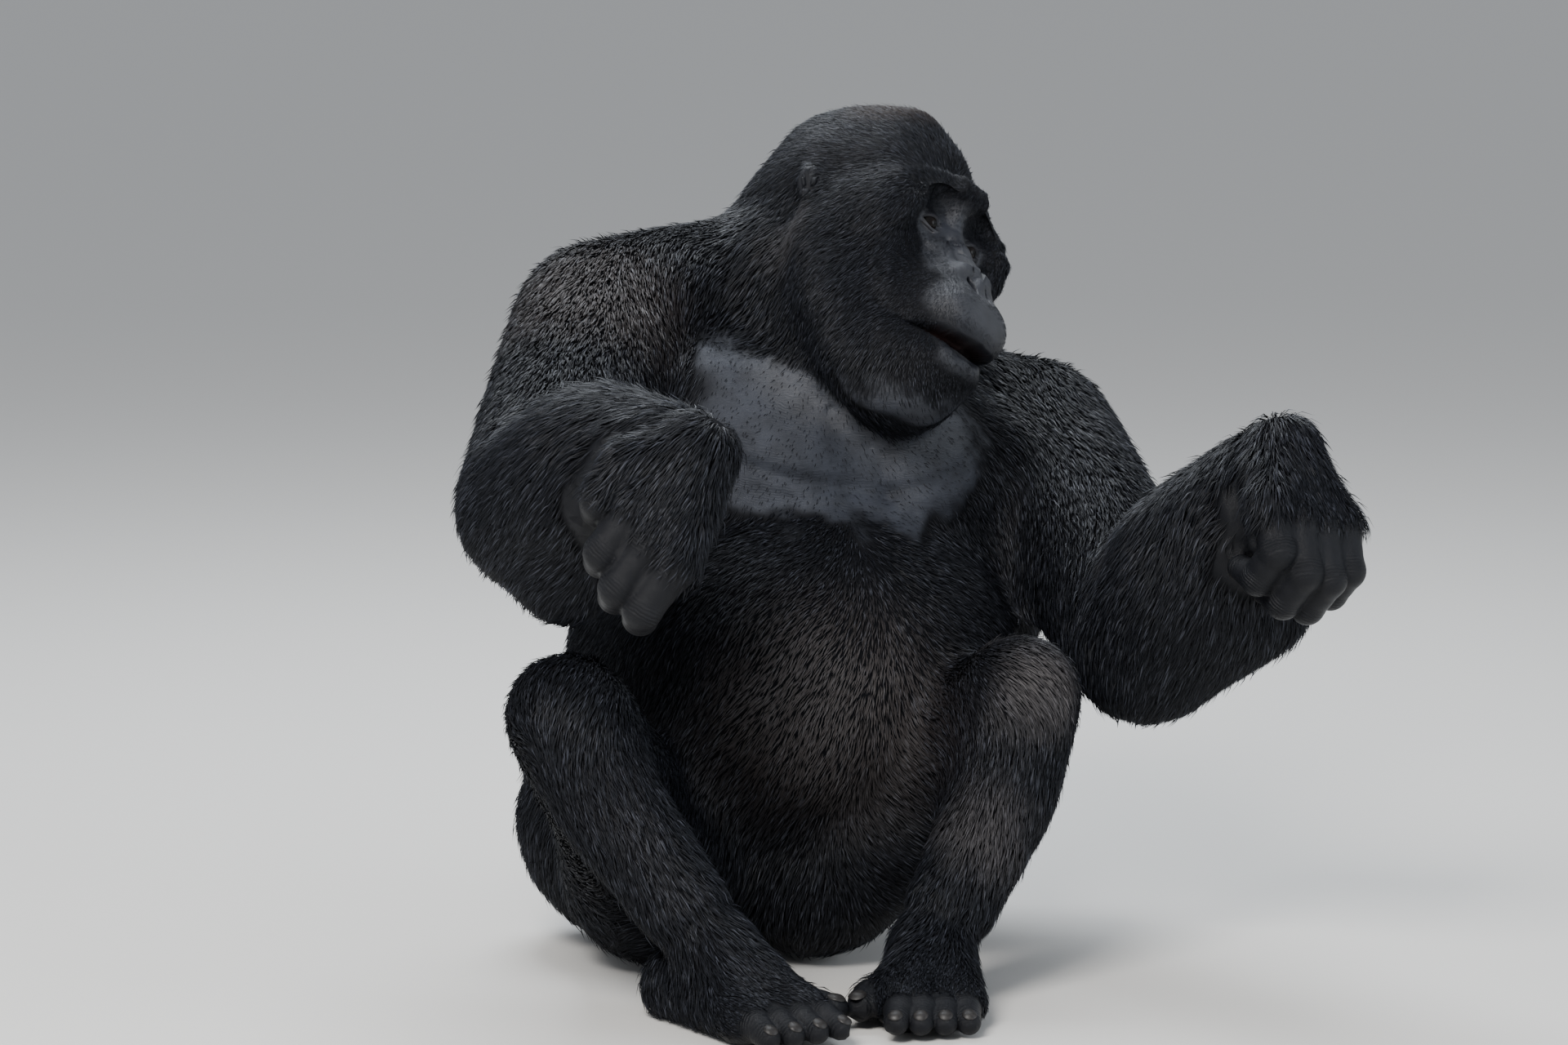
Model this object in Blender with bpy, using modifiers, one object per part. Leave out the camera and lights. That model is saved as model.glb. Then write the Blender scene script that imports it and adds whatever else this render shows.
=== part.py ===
"""Life-size sitting male mountain gorilla, a still museum model. Metres, +Z up.

The animal sits on the floor with its chest toward -Y, its right side toward -X,
both knees raised, both forearms brought forward with the hands hanging loosely.
Each body part is a solid whose outline goes out to the tips of the coat.
"""

import math

import bmesh
import bpy
from mathutils import Matrix, Vector

NAME = "gorilla"

# --- general sizes -----------------------------------------------------------
GAP = 0.0003             # clearance between touching parts
VOXEL = 0.0060           # grain of the blended body
LEG_VOXEL = 0.0040       # grain of the legs and feet
EAR_VOXEL = 0.0022       # grain of the ears
FINISHING = 3            # rounds of smoothing everywhere
BROADENING = 22          # rounds of smoothing away from face, hands and feet
PLACE = Vector((-0.0143, 0.1748, 0.0))   # moves the whole animal over the origin

# --- joints (right side of the animal is -X) -----------------------------------
SHOULDER_R = Vector((-0.204, 0.077, 0.734))
ELBOW_R = Vector((-0.386, -0.250, 0.565))
WRIST_R = Vector((-0.304, -0.560, 0.664))
SHOULDER_L = Vector((0.341, 0.059, 0.576))
ELBOW_L = Vector((0.352, -0.276, 0.375))
WRIST_L = Vector((0.428, -0.484, 0.624))
HIP_L = Vector((-0.015, -0.150, 0.118))
KNEE_L = Vector((0.156, -0.362, 0.340))
ANKLE_L = Vector((0.020, -0.434, 0.066))
HIP_R = Vector((-0.205, -0.130, 0.118))
KNEE_R = Vector((-0.380, -0.335, 0.345))
ANKLE_R = Vector((-0.240, -0.430, 0.085))

# --- hands and feet: directions from the wrist, along the knuckles, out of the palm ---
REACH_R = Vector((-0.630, 0.010, -0.777))
ROW_R = Vector((-0.440, 0.380, 0.820))
PALM_R = Vector((0.320, 0.910, -0.250))
REACH_L = Vector((0.030, -0.620, -0.785))
ROW_L = Vector((0.880, -0.010, -0.474))
PALM_L = Vector((-0.310, 0.740, -0.600))
HEADING_R = Vector((0.350, -0.937, 0.000))
HEADING_L = Vector((-0.400, -0.917, 0.000))

# --- triangle budgets ----------------------------------------------------------
BODY_TRIANGLES = 4120
LEG_TRIANGLES = 620
EAR_TRIANGLES = 120

# --- head: eye-level point and its own axes (left, up, forward) ----------------
HEAD_AT = Vector((0.168, -0.127, 0.850))
HEAD_LEFT = Vector((0.781, 0.360, -0.510))
HEAD_UP = Vector((0.396, 0.345, 0.851))
EYE_SPREAD = 0.0385      # half the distance between the eye centres
EYE_RADIUS = 0.0135
EYE_BACK = 0.0155        # eye centre behind the eye-level point
EYE_DROP = 0.0040        # and below it


def frame(at, left, up):
    """Matrix of a local frame from its place, its left and roughly its up direction."""
    side = left.normalized()
    front = side.cross(up).normalized()
    top = front.cross(side).normalized()
    turn = Matrix((side, top, front)).transposed()
    return Matrix.Translation(at) @ turn.to_4x4()


HEAD = frame(HEAD_AT, HEAD_LEFT, HEAD_UP)


def local(matrix, *xyz):
    """A point of a local frame, given in metres, in the world."""
    return matrix @ Vector(xyz)


def ball(centre, radii, turn=None):
    """An ellipsoid as a matrix that places a unit ball."""
    if not hasattr(radii, "__len__"):
        radii = (radii, radii, radii)
    basis = turn.to_3x3().to_4x4() if turn else Matrix.Identity(4)
    return Matrix.Translation(centre) @ basis @ Matrix.Diagonal((*radii, 1.0))


def add_hull(mesh, balls, fineness=2):
    """Add the convex hull of some ellipsoids to a mesh."""
    bm = bmesh.new()
    for matrix in balls:
        bmesh.ops.create_icosphere(bm, subdivisions=fineness, radius=1.0, matrix=matrix)
    bmesh.ops.delete(bm, geom=bm.edges[:], context="EDGES_FACES")
    made = bmesh.ops.convex_hull(bm, input=bm.verts[:])
    inner = {item for item in made["geom_interior"] if isinstance(item, bmesh.types.BMVert)}
    bmesh.ops.delete(bm, geom=list(inner), context="VERTS")
    bmesh.ops.recalc_face_normals(bm, faces=bm.faces[:])
    extra = bpy.data.meshes.new("extra")
    bm.to_mesh(extra)
    bm.clear()
    bm.from_mesh(mesh)
    bm.from_mesh(extra)
    bm.to_mesh(mesh)
    bm.free()
    bpy.data.meshes.remove(extra)


def chain(mesh, points, radii):
    """Add a limb: tapered rounded lengths from point to point."""
    for k in range(len(points) - 1):
        add_hull(mesh, [ball(points[k], radii[k]), ball(points[k + 1], radii[k + 1])])


def mirrored(matrix, spots):
    """Each (x, y, z, radii) of a local frame on both sides of it, as ellipsoids."""
    both = []
    for x, y, z, radii in spots:
        both.append(ball(local(matrix, x, y, z), radii, matrix))
        if x:
            both.append(ball(local(matrix, -x, y, z), radii, matrix))
    return both


# --- masses of the trunk --------------------------------------------------------
def add_trunk(mesh):
    """Buttocks, belly, ribs, breast muscles, shoulder girdle and neck."""
    lean = frame(Vector((0.055, 0.030, 0.560)), Vector((0.964, -0.030, -0.250)), Vector((0.25, 0, 1)))
    add_hull(mesh, [ball((-0.185, 0.010, 0.150), (0.148, 0.170, 0.153)),
                    ball((0.025, 0.010, 0.150), (0.148, 0.170, 0.153)),
                    ball((-0.090, -0.070, 0.125), (0.170, 0.140, 0.125))])
    add_hull(mesh, [ball((-0.005, -0.100, 0.330), (0.258, 0.222, 0.212)),
                    ball((-0.070, -0.055, 0.215), (0.240, 0.180, 0.165)),
                    ball((0.015, 0.030, 0.350), (0.275, 0.190, 0.220))], 3)
    add_hull(mesh, [ball((0.075, -0.115, 0.270), (0.150, 0.165, 0.130)),
                    ball((0.000, -0.050, 0.330), (0.200, 0.180, 0.180))])
    add_hull(mesh, [ball((0.238, 0.060, 0.405), (0.127, 0.130, 0.140)),
                    ball((0.150, 0.050, 0.300), (0.140, 0.150, 0.130))])
    add_hull(mesh, [ball((0.035, 0.035, 0.430), (0.285, 0.195, 0.200)),
                    ball(local(lean, -0.075, 0.045, -0.010), (0.150, 0.120, 0.165), lean),
                    ball(local(lean, 0.085, 0.045, -0.010), (0.150, 0.120, 0.165), lean)], 3)
    for side in (-1, 1):
        add_hull(mesh, [ball(local(lean, side * 0.075, 0.000, 0.115), (0.085, 0.075, 0.070), lean),
                        ball(local(lean, side * 0.185, 0.040, 0.060), (0.080, 0.085, 0.070), lean)])
    nape = Vector((0.040, 0.135, 0.755))
    add_hull(mesh, [ball(nape, 0.112), ball(SHOULDER_R + Vector((0.055, 0.015, 0.010)), 0.108),
                    ball((0.020, 0.150, 0.560), (0.190, 0.110, 0.150))])
    add_hull(mesh, [ball(nape, 0.110), ball(SHOULDER_L + Vector((-0.050, 0.025, 0.015)), 0.095),
                    ball((0.060, 0.150, 0.520), (0.190, 0.110, 0.150))])
    add_hull(mesh, [ball((0.070, 0.080, 0.720), 0.140),
                    ball(local(HEAD, 0.0, -0.050, -0.230), 0.115),
                    ball(local(HEAD, 0.0, -0.130, -0.120), 0.090)])


def add_skull(mesh):
    """Cranium with its crest, brow, cheeks, muzzle, jaw and beard."""
    crest = [(0.0, 0.085, -0.035, 0.028), (0.0, 0.148, -0.110, 0.034), (0.0, 0.156, -0.185, 0.036)]
    rear = [(0.0, 0.126, -0.244, 0.056), (0.0, 0.040, -0.270, 0.075), (0.0, -0.040, -0.240, 0.080)]
    dome = [(0.045, 0.050, -0.085, 0.058), (0.050, 0.055, -0.165, 0.066)]
    add_hull(mesh, mirrored(HEAD, dome + crest))
    add_hull(mesh, mirrored(HEAD, dome[1:] + crest[2:] + rear))
    brow = [(0.000, 0.041, 0.006, 0.017), (0.038, 0.044, 0.002, 0.018), (0.080, 0.026, -0.016, 0.021)]
    add_hull(mesh, mirrored(HEAD, brow[:2]))
    add_hull(mesh, mirrored(HEAD, [(0.045, 0.050, -0.085, 0.058), (0.054, 0.040, -0.026, 0.026)]))
    for side in (-1, 1):
        add_hull(mesh, [ball(local(HEAD, side * x, y, z), r) for x, y, z, r in brow[1:]])
        add_hull(mesh, [ball(local(HEAD, side * 0.086, 0.022, -0.020), 0.027),
                        ball(local(HEAD, side * 0.092, -0.022, -0.027), 0.032),
                        ball(local(HEAD, side * 0.078, 0.000, -0.110), 0.044)])
    cheek = [(0.064, -0.040, -0.042, 0.034), (0.050, -0.088, -0.030, 0.040),
             (0.082, -0.045, -0.120, 0.054), (0.072, -0.120, -0.085, 0.056)]
    add_hull(mesh, mirrored(HEAD, cheek + [(0.030, -0.035, -0.022, 0.022)]))
    muzzle = [(0.026, -0.090, 0.022, 0.032), (0.028, -0.122, 0.048, 0.035), (0.041, -0.110, -0.015, 0.036)]
    add_hull(mesh, mirrored(HEAD, muzzle))
    nose = [(0.000, 0.014, -0.002, 0.010), (0.000, -0.045, 0.036, 0.012), (0.019, -0.070, 0.052, 0.015)]
    add_hull(mesh, mirrored(HEAD, nose))
    jaw = [(0.026, -0.174, 0.034, 0.032), (0.050, -0.155, -0.035, 0.046), (0.052, -0.175, -0.060, 0.050)]
    add_hull(mesh, mirrored(HEAD, jaw))
    beard = [(0.022, -0.212, 0.002, 0.034), (0.036, -0.214, -0.046, 0.036)]
    add_hull(mesh, mirrored(HEAD, jaw + beard))


def add_face_hollows(mesh):
    """Eye sockets and nostrils, to be taken away."""
    for side in (-1, 1):
        add_hull(mesh, [ball(local(HEAD, side * 0.037, 0.001, 0.006), (0.021, 0.016, 0.016), HEAD),
                        ball(local(HEAD, side * 0.040, -0.003, 0.030), (0.027, 0.020, 0.014), HEAD)])
        add_hull(mesh, [ball(local(HEAD, side * 0.012, -0.072, 0.066), (0.0065, 0.005, 0.010), HEAD)])


def add_mouth(mesh):
    """The slightly open mouth from corner to corner, to be taken away."""
    add_hull(mesh, [ball(local(HEAD, -0.074, -0.133, 0.008), (0.006, 0.003, 0.010), HEAD),
                    ball(local(HEAD, 0.074, -0.133, 0.008), (0.006, 0.003, 0.010), HEAD),
                    ball(local(HEAD, 0.0, -0.148, 0.040), (0.016, 0.007, 0.020), HEAD),
                    ball(local(HEAD, 0.0, -0.150, 0.100), (0.030, 0.010, 0.020), HEAD)])


def add_ear(mesh, side):
    """A small round ear: a rim around a thin plate, standing off the side of the head."""
    seat = frame(local(HEAD, side * 0.122, 0.022, -0.140),
                 HEAD.to_3x3() @ Vector((side * 0.35, 0.0, -0.94)),
                 HEAD.to_3x3() @ Vector((0.0, 1.0, 0.10)))
    turns = 14
    rim = []
    for k in range(turns):
        angle = math.radians(-70 + 270 * k / (turns - 1))
        rim.append(local(seat, 0.017 * math.sin(angle), 0.024 * math.cos(angle) + 0.002, 0.004))
    chain(mesh, rim, [0.0062] * turns)
    add_hull(mesh, [ball(local(seat, 0.0, 0.000, -0.003), (0.016, 0.022, 0.004), seat),
                    ball(local(seat, 0.006, -0.024, 0.000), (0.008, 0.008, 0.005), seat)])


# --- limbs ----------------------------------------------------------------------
def add_arm(mesh, shoulder, elbow, wrist, lift, fringe):
    """Shoulder cap, upper arm and forearm with its long coat.

    lift raises the thick middle of the forearm; fringe is a point out to which
    the coat hangs below the forearm.
    """
    upper = shoulder.lerp(elbow, 0.5)
    lower = elbow.lerp(wrist, 0.38) + Vector((0.0, 0.0, lift))
    chain(mesh, [shoulder, upper, elbow], [0.112, 0.108, 0.102])
    chain(mesh, [elbow, lower, wrist.lerp(elbow, 0.10)], [0.098, 0.116, 0.064])
    add_hull(mesh, [ball(elbow, 0.095), ball(fringe, 0.062), ball(wrist.lerp(elbow, 0.25), 0.060)])


def finger(mesh, base, directions, lengths, radii):
    """One finger or toe: lengths bent from joint to joint, from the knuckle out."""
    spots = [base]
    for direction, length in zip(directions, lengths):
        spots.append(spots[-1] + direction.normalized() * length)
    chain(mesh, spots, radii)


def add_hand(mesh, wrist, reach, row, palm, spread, bend):
    """A loosely closed hand hanging from the wrist.

    reach points from wrist to knuckles, row from the thumb side to the little
    finger and palm out of the palm; spread is the width of the knuckle row and
    bend says how far the fingers fold into the palm.
    """
    reach, row, palm = reach.normalized(), row.normalized(), palm.normalized()
    middle = wrist + reach * 0.100
    knuckles = [middle + row * spread * (k / 3.0 - 0.5) - reach * 0.006 * (k - 1) ** 2
                for k in range(4)]
    add_hull(mesh, [ball(wrist, 0.040), ball(wrist - row * 0.014, 0.038),
                    ball(knuckles[0], 0.028), ball(knuckles[3], 0.025)])
    add_hull(mesh, [ball(wrist + row * 0.016, 0.036), ball(knuckles[1], 0.029),
                    ball(knuckles[3], 0.025), ball(knuckles[2], 0.028)])
    lengths = [(0.058, 0.044, 0.034), (0.062, 0.048, 0.036), (0.060, 0.045, 0.035), (0.050, 0.036, 0.030)]
    for base, size in zip(knuckles, lengths):
        first = reach + palm * 0.20
        second = palm + reach * (0.85 - bend)
        third = palm * 0.45 - reach * bend
        finger(mesh, base, [first, second, third], size, [0.0235, 0.0205, 0.0185, 0.0140])
    thumb = wrist - row * 0.040 + reach * 0.045 + palm * 0.012
    finger(mesh, thumb, [reach * 0.9 - row * 0.25 + palm * 0.15, reach + palm * 0.35],
           (0.050, 0.032), [0.022, 0.018, 0.0135])
    add_hull(mesh, [ball(wrist - row * 0.020, 0.034), ball(thumb, 0.023)])


def add_leg(mesh, hip, knee, ankle, calf):
    """Thigh folded up to the knee and shin down to the ankle; calf moves the shin's bulge."""
    middle = hip.lerp(knee, 0.5) + Vector((0.022, 0.026, -0.032))
    bulge = knee.lerp(ankle, 0.40) + calf
    chain(mesh, [hip, middle, knee], [0.120, 0.086, 0.078])
    chain(mesh, [knee, bulge, ankle.lerp(knee, 0.06)], [0.078, 0.066, 0.054])


def add_foot(mesh, ankle, heading, inner):
    """A foot flat on the floor; heading points to the toes and inner to the other foot."""
    flat = Vector((ankle.x, ankle.y, 0.0))
    up = Vector((0.0, 0.0, 1.0))
    heel = flat - heading * 0.055 + up * 0.036
    ball_in = flat + heading * 0.115 + inner * 0.026 + up * 0.030
    ball_out = flat + heading * 0.095 - inner * 0.036 + up * 0.026
    add_hull(mesh, [ball(ankle, 0.046), ball(heel, 0.040), ball(ball_in, 0.030), ball(ball_out, 0.026)])
    for k in range(4):
        base = ball_in.lerp(ball_out, k / 3.0) - up * 0.004
        aim = heading + inner * (0.10 - 0.10 * k)
        finger(mesh, base, [aim + up * 0.10, aim - up * 0.30], (0.040 - 0.003 * k, 0.026),
               [0.020, 0.0165, 0.0135])
    big = flat + heading * 0.040 + inner * 0.034 + up * 0.028
    finger(mesh, big, [heading + inner * 0.75, heading + inner * 0.35 - up * 0.06], (0.052, 0.036),
           [0.026, 0.021, 0.017])


# --- from masses to solids --------------------------------------------------------
def new_object(name, mesh, collection):
    """Put a mesh in a collection as an object."""
    item = bpy.data.objects.new(name, mesh)
    collection.objects.link(item)
    return item


def add_modifier(item, kind, **settings):
    """Add one modifier with its settings."""
    modifier = item.modifiers.new(kind.lower(), kind)
    for key, value in settings.items():
        setattr(modifier, key, value)
    return modifier


def freeze(item):
    """Replace an object's mesh with what its modifiers make of it."""
    graph = bpy.context.evaluated_depsgraph_get()
    mesh = bpy.data.meshes.new_from_object(item.evaluated_get(graph))
    old = item.data
    item.modifiers.clear()
    item.data = mesh
    bpy.data.meshes.remove(old)


def carve(item, tool, operation="DIFFERENCE"):
    """Boolean one object with another and keep the result."""
    add_modifier(item, "BOOLEAN", operation=operation, solver="EXACT", object=tool)
    freeze(item)


def mark_broad(item, keep):
    """Vertex group of what lies far from every (point, reach) pair to be kept crisp."""
    group = item.vertex_groups.new(name="broad")
    for vertex in item.data.vertices:
        nearness = min((vertex.co - spot).length / reach for spot, reach in keep)
        weight = min(1.0, max(0.0, (nearness - 1.0) * 4.0))
        if weight > 0.0:
            group.add([vertex.index], weight, "REPLACE")


def blend(item, voxel, smoothing, triangles, hollows=None, keep=(), broad=0):
    """Melt overlapping masses into one surface and bring it down to a triangle budget.

    keep lists (point, reach) pairs outside which the surface is smoothed broad more times.
    """
    add_modifier(item, "REMESH", mode="VOXEL", voxel_size=voxel)
    freeze(item)
    if hollows:
        carve(item, hollows)
    if keep:
        mark_broad(item, keep)
        add_modifier(item, "SMOOTH", factor=0.5, iterations=broad, vertex_group="broad")
        freeze(item)
    add_modifier(item, "SMOOTH", factor=0.5, iterations=smoothing)
    add_modifier(item, "TRIANGULATE")
    freeze(item)
    share = triangles / len(item.data.polygons)
    add_modifier(item, "DECIMATE", ratio=min(1.0, share))
    freeze(item)


def region(name, at, outward, radius, depth, collection, flat=None):
    """A cutter drum lying beyond the plane through a point with an outward direction.

    flat is a direction along which the drum is squeezed by its own length.
    """
    bm = bmesh.new()
    bmesh.ops.create_cone(bm, cap_ends=True, segments=24, radius1=radius, radius2=radius, depth=depth)
    turn = outward.normalized().to_track_quat("Z", "Y").to_matrix().to_4x4()
    shift = Matrix.Translation((0.0, 0.0, depth / 2))
    squeeze = Matrix.Identity(4)
    if flat:
        squeeze = Matrix.Scale(flat.length, 4, flat.normalized())
    bmesh.ops.transform(bm, matrix=Matrix.Translation(at) @ squeeze @ turn @ shift, verts=bm.verts[:])
    mesh = bpy.data.meshes.new(name)
    bm.to_mesh(mesh)
    bm.free()
    tool = new_object(name, mesh, collection)
    tool.display_type = "WIRE"
    tool.hide_render = True
    return tool


def peel(body, name, at, outward, radius, depth, parts, cutters, flat=None):
    """Split the part of a body that lies beyond a plane off as an object of its own."""
    tool = region("cut_" + name, at, outward, radius, depth, cutters, flat)
    piece = new_object(name, body.data.copy(), parts)
    carve(piece, tool, "INTERSECT")
    wide = region("gap_" + name, at - outward.normalized() * GAP, outward, radius + GAP,
                  depth + 2 * GAP, cutters, flat)
    carve(body, wide)
    return piece


def swollen(item, name, amount, cutters):
    """A copy of a solid grown by a small amount, used as a cutter."""
    copy = new_object(name, item.data.copy(), cutters)
    add_modifier(copy, "DISPLACE", strength=amount, mid_level=0.0)
    freeze(copy)
    copy.display_type = "WIRE"
    copy.hide_render = True
    return copy


# --- colours ----------------------------------------------------------------------
def material(name, colour, roughness):
    """A plain Principled material."""
    item = bpy.data.materials.new(name)
    item.use_nodes = True
    shader = item.node_tree.nodes["Principled BSDF"]
    shader.inputs["Base Color"].default_value = (*colour, 1.0)
    shader.inputs["Roughness"].default_value = roughness
    shader.inputs["Metallic"].default_value = 0.0
    return item


def colour(item, finish):
    """Give a solid its only material."""
    item.data.materials.clear()
    item.data.materials.append(finish)


def masses(name, fill, parts):
    """A new object holding the overlapping masses that a function adds."""
    mesh = bpy.data.meshes.new(name)
    fill(mesh)
    return new_object(name, mesh, parts)


def add_body(mesh):
    """Everything that melts into the trunk: trunk, head, arms and hands."""
    add_trunk(mesh)
    add_skull(mesh)
    add_arm(mesh, SHOULDER_R, ELBOW_R, WRIST_R, 0.012, Vector((-0.378, -0.330, 0.500)))
    add_arm(mesh, SHOULDER_L, ELBOW_L, WRIST_L, 0.000, Vector((0.452, -0.390, 0.430)))
    add_hand(mesh, WRIST_R, REACH_R, ROW_R, PALM_R, 0.115, 0.75)
    add_hand(mesh, WRIST_L, REACH_L, ROW_L, PALM_L, 0.105, 0.60)


def add_leg_left(mesh):
    """The left leg with its foot."""
    add_leg(mesh, HIP_L, KNEE_L, ANKLE_L, Vector((0.032, 0.016, 0.0)))
    add_foot(mesh, ANKLE_L, HEADING_L, HEADING_L.cross(Vector((0.0, 0.0, 1.0))))


def add_leg_right(mesh):
    """The right leg with its foot."""
    add_leg(mesh, HIP_R, KNEE_R, ANKLE_R, Vector((-0.012, 0.020, 0.0)))
    add_foot(mesh, ANKLE_R, HEADING_R, Vector((0.0, 0.0, 1.0)).cross(HEADING_R))


def between(first, second):
    """Normal of the plane that parts two limb lengths which meet in a joint."""
    return first.normalized() + second.normalized()


def build():
    """Make every solid of the animal."""
    for item in list(bpy.data.objects):
        bpy.data.objects.remove(item)
    parts = bpy.data.collections.new(NAME)
    cutters = bpy.data.collections.new(NAME + "_cutters")
    bpy.context.scene.collection.children.link(parts)
    bpy.context.scene.collection.children.link(cutters)

    hollows = masses("hollows", add_face_hollows, cutters)
    hollows.hide_render = True
    hollows.display_type = "WIRE"
    body = masses("chest", add_body, parts)
    palm_right = WRIST_R + REACH_R * 0.08
    palm_left = WRIST_L + REACH_L * 0.08
    crisp = [(local(HEAD, 0.0, -0.06, -0.02), 0.19), (palm_right, 0.13), (palm_left, 0.13)]
    blend(body, VOXEL, FINISHING, BODY_TRIANGLES, hollows, crisp, BROADENING)
    legs = {"left": masses("thigh_left", add_leg_left, parts),
            "right": masses("thigh_right", add_leg_right, parts)}
    for side, leg in legs.items():
        ankle = {"left": ANKLE_L, "right": ANKLE_R}[side]
        blend(leg, LEG_VOXEL, FINISHING, LEG_TRIANGLES, None, [(ankle, 0.20)], BROADENING)
    crotch = HIP_L.lerp(HIP_R, 0.5)
    across = (HIP_L - HIP_R).normalized()
    carve(legs["right"], region("midline_right", crotch - across * GAP, across, 0.25, 0.30, cutters))
    carve(legs["left"], region("midline_left", crotch + across * GAP, -across, 0.25, 0.30, cutters))
    floor = region("floor", Vector((0.0, 0.0, 0.0)), Vector((0.0, 0.0, -1.0)), 2.0, 0.2, cutters)
    for item in (body, *legs.values()):
        carve(item, floor)
    for side, leg in legs.items():
        carve(body, swollen(leg, "room_" + side, GAP, cutters))

    limbs = {"right": (SHOULDER_R, ELBOW_R, WRIST_R, REACH_R),
             "left": (SHOULDER_L, ELBOW_L, WRIST_L, REACH_L)}
    for side, (shoulder, elbow, wrist, reach) in limbs.items():
        peel(body, "hand_" + side, wrist, between(wrist - elbow, reach), 0.20, 0.30, parts, cutters)
        peel(body, "forearm_" + side, elbow, between(elbow - shoulder, wrist - elbow), 0.29, 0.40,
             parts, cutters)
        peel(body, "upper_arm_" + side, shoulder, elbow - shoulder, 0.135, 0.60, parts, cutters)
    mouth = masses("mouth", add_mouth, cutters)
    mouth.hide_render = True
    mouth.display_type = "WIRE"
    upward = HEAD.to_3x3() @ Vector((0.0, 0.80, 0.60))
    head = peel(body, "head", local(HEAD, 0.0, -0.124, -0.198), upward, 0.27, 0.50, parts, cutters,
                HEAD.to_3x3() @ Vector((0.62, 0.0, 0.0)))
    carve(head, mouth)
    peel(body, "neck", Vector((0.020, 0.060, 0.668)), upward, 0.150, 0.30, parts, cutters)
    peel(body, "belly", Vector((0.0, 0.0, 0.450)), Vector((0.0, 0.0, -1.0)), 0.80, 0.60, parts, cutters)

    headings = {"right": HEADING_R, "left": HEADING_L}
    joints = {"right": (HIP_R, KNEE_R, ANKLE_R), "left": (HIP_L, KNEE_L, ANKLE_L)}
    for side, (hip, knee, ankle) in joints.items():
        leg = legs[side]
        ahead = ankle + headings[side] * 0.035
        peel(leg, "foot_" + side, ahead, ankle - knee, 0.190, 0.20, parts, cutters)
        peel(leg, "shin_" + side, knee, between(knee - hip, ankle - knee), 0.45, 0.45, parts, cutters)

    for side, sign in (("right", -1), ("left", 1)):
        ear = masses("ear_" + side, lambda mesh: add_ear(mesh, sign), parts)
        blend(ear, EAR_VOXEL, FINISHING - 1, EAR_TRIANGLES)
        carve(head, swollen(ear, "room_ear_" + side, GAP, cutters))
        centre = local(HEAD, sign * EYE_SPREAD, -EYE_DROP, -EYE_BACK)
        eye = masses("eye_" + side, lambda mesh: add_hull(mesh, [ball(centre, EYE_RADIUS)]), parts)
        room = masses("room_eye_" + side, lambda mesh: add_hull(mesh, [ball(centre, EYE_RADIUS + 2 * GAP)]),
                      cutters)
        room.hide_render = True
        room.display_type = "WIRE"
        carve(head, room)
    fur = material("black_coat", (0.030, 0.030, 0.034), 0.75)
    skin = material("dark_skin", (0.060, 0.060, 0.068), 0.50)
    wet = material("eye", (0.045, 0.022, 0.012), 0.08)
    for item in parts.objects:
        finish = fur
        if item.name.startswith(("hand", "foot", "ear", "chest")):
            finish = skin
        if item.name.startswith("eye"):
            finish = wet
        colour(item, finish)
        item.data.transform(Matrix.Translation(PLACE))
    for item in cutters.objects:
        item.data.transform(Matrix.Translation(PLACE))


build()
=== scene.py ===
"""Looks of a life-size mountain gorilla that sits on the floor.

One closed skin covers the whole body, thin locks of hair lie over it, and eyes
and nails are pieces of their own. Metres, +Z up; the chest faces -Y and the
animal's right side is toward -X. The head has a frame of its own, whose axes
are left, up and front.
"""

import logging
import math
from collections.abc import Callable, Sequence
from dataclasses import dataclass, field
from enum import Enum
from typing import ClassVar

import bmesh
import bpy
import numpy as np
from mathutils import Matrix, Vector


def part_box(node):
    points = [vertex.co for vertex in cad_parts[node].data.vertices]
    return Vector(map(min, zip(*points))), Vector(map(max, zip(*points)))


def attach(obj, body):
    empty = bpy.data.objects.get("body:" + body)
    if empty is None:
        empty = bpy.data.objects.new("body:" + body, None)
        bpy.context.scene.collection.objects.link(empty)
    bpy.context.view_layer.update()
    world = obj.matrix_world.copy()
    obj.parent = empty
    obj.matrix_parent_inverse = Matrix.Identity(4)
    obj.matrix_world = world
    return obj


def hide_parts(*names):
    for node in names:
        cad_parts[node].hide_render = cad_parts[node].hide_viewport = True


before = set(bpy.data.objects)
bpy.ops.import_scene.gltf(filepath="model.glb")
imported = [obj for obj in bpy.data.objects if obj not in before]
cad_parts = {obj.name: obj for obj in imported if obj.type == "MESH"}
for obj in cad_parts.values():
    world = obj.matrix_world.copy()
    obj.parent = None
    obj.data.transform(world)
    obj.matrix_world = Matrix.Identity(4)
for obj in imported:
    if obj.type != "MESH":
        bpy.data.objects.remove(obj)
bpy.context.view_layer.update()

LOG = logging.getLogger("gorilla")
Array = np.ndarray
DOWN = np.array([0.0, 0.0, -1.0])
SEED = 20


# --- small tools on whole arrays ---------------------------------------------------
def unit(vectors: Array) -> Array:
    """Vectors divided by their lengths.

    Args:
        vectors: one vector or rows of vectors.
    Returns:
        The same directions at length one.
    """
    size = np.linalg.norm(vectors, axis=-1, keepdims=True)
    return vectors / np.maximum(size, 1e-9)


def ramp(low: float, high: float, value: Array) -> Array:
    """Smooth step: 0 below low, 1 above high, 3t^2 - 2t^3 between.

    Args:
        low: where the step starts.
        high: where it ends.
        value: what is stepped.
    Returns:
        Numbers from 0 to 1.
    """
    part = np.clip((value - low) / (high - low), 0.0, 1.0)
    return part * part * (3.0 - 2.0 * part)


def mix(first: Array, second: Array, share: Array) -> Array:
    """Straight blend: first where share is 0, second where it is 1."""
    return first + (second - first) * share


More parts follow.
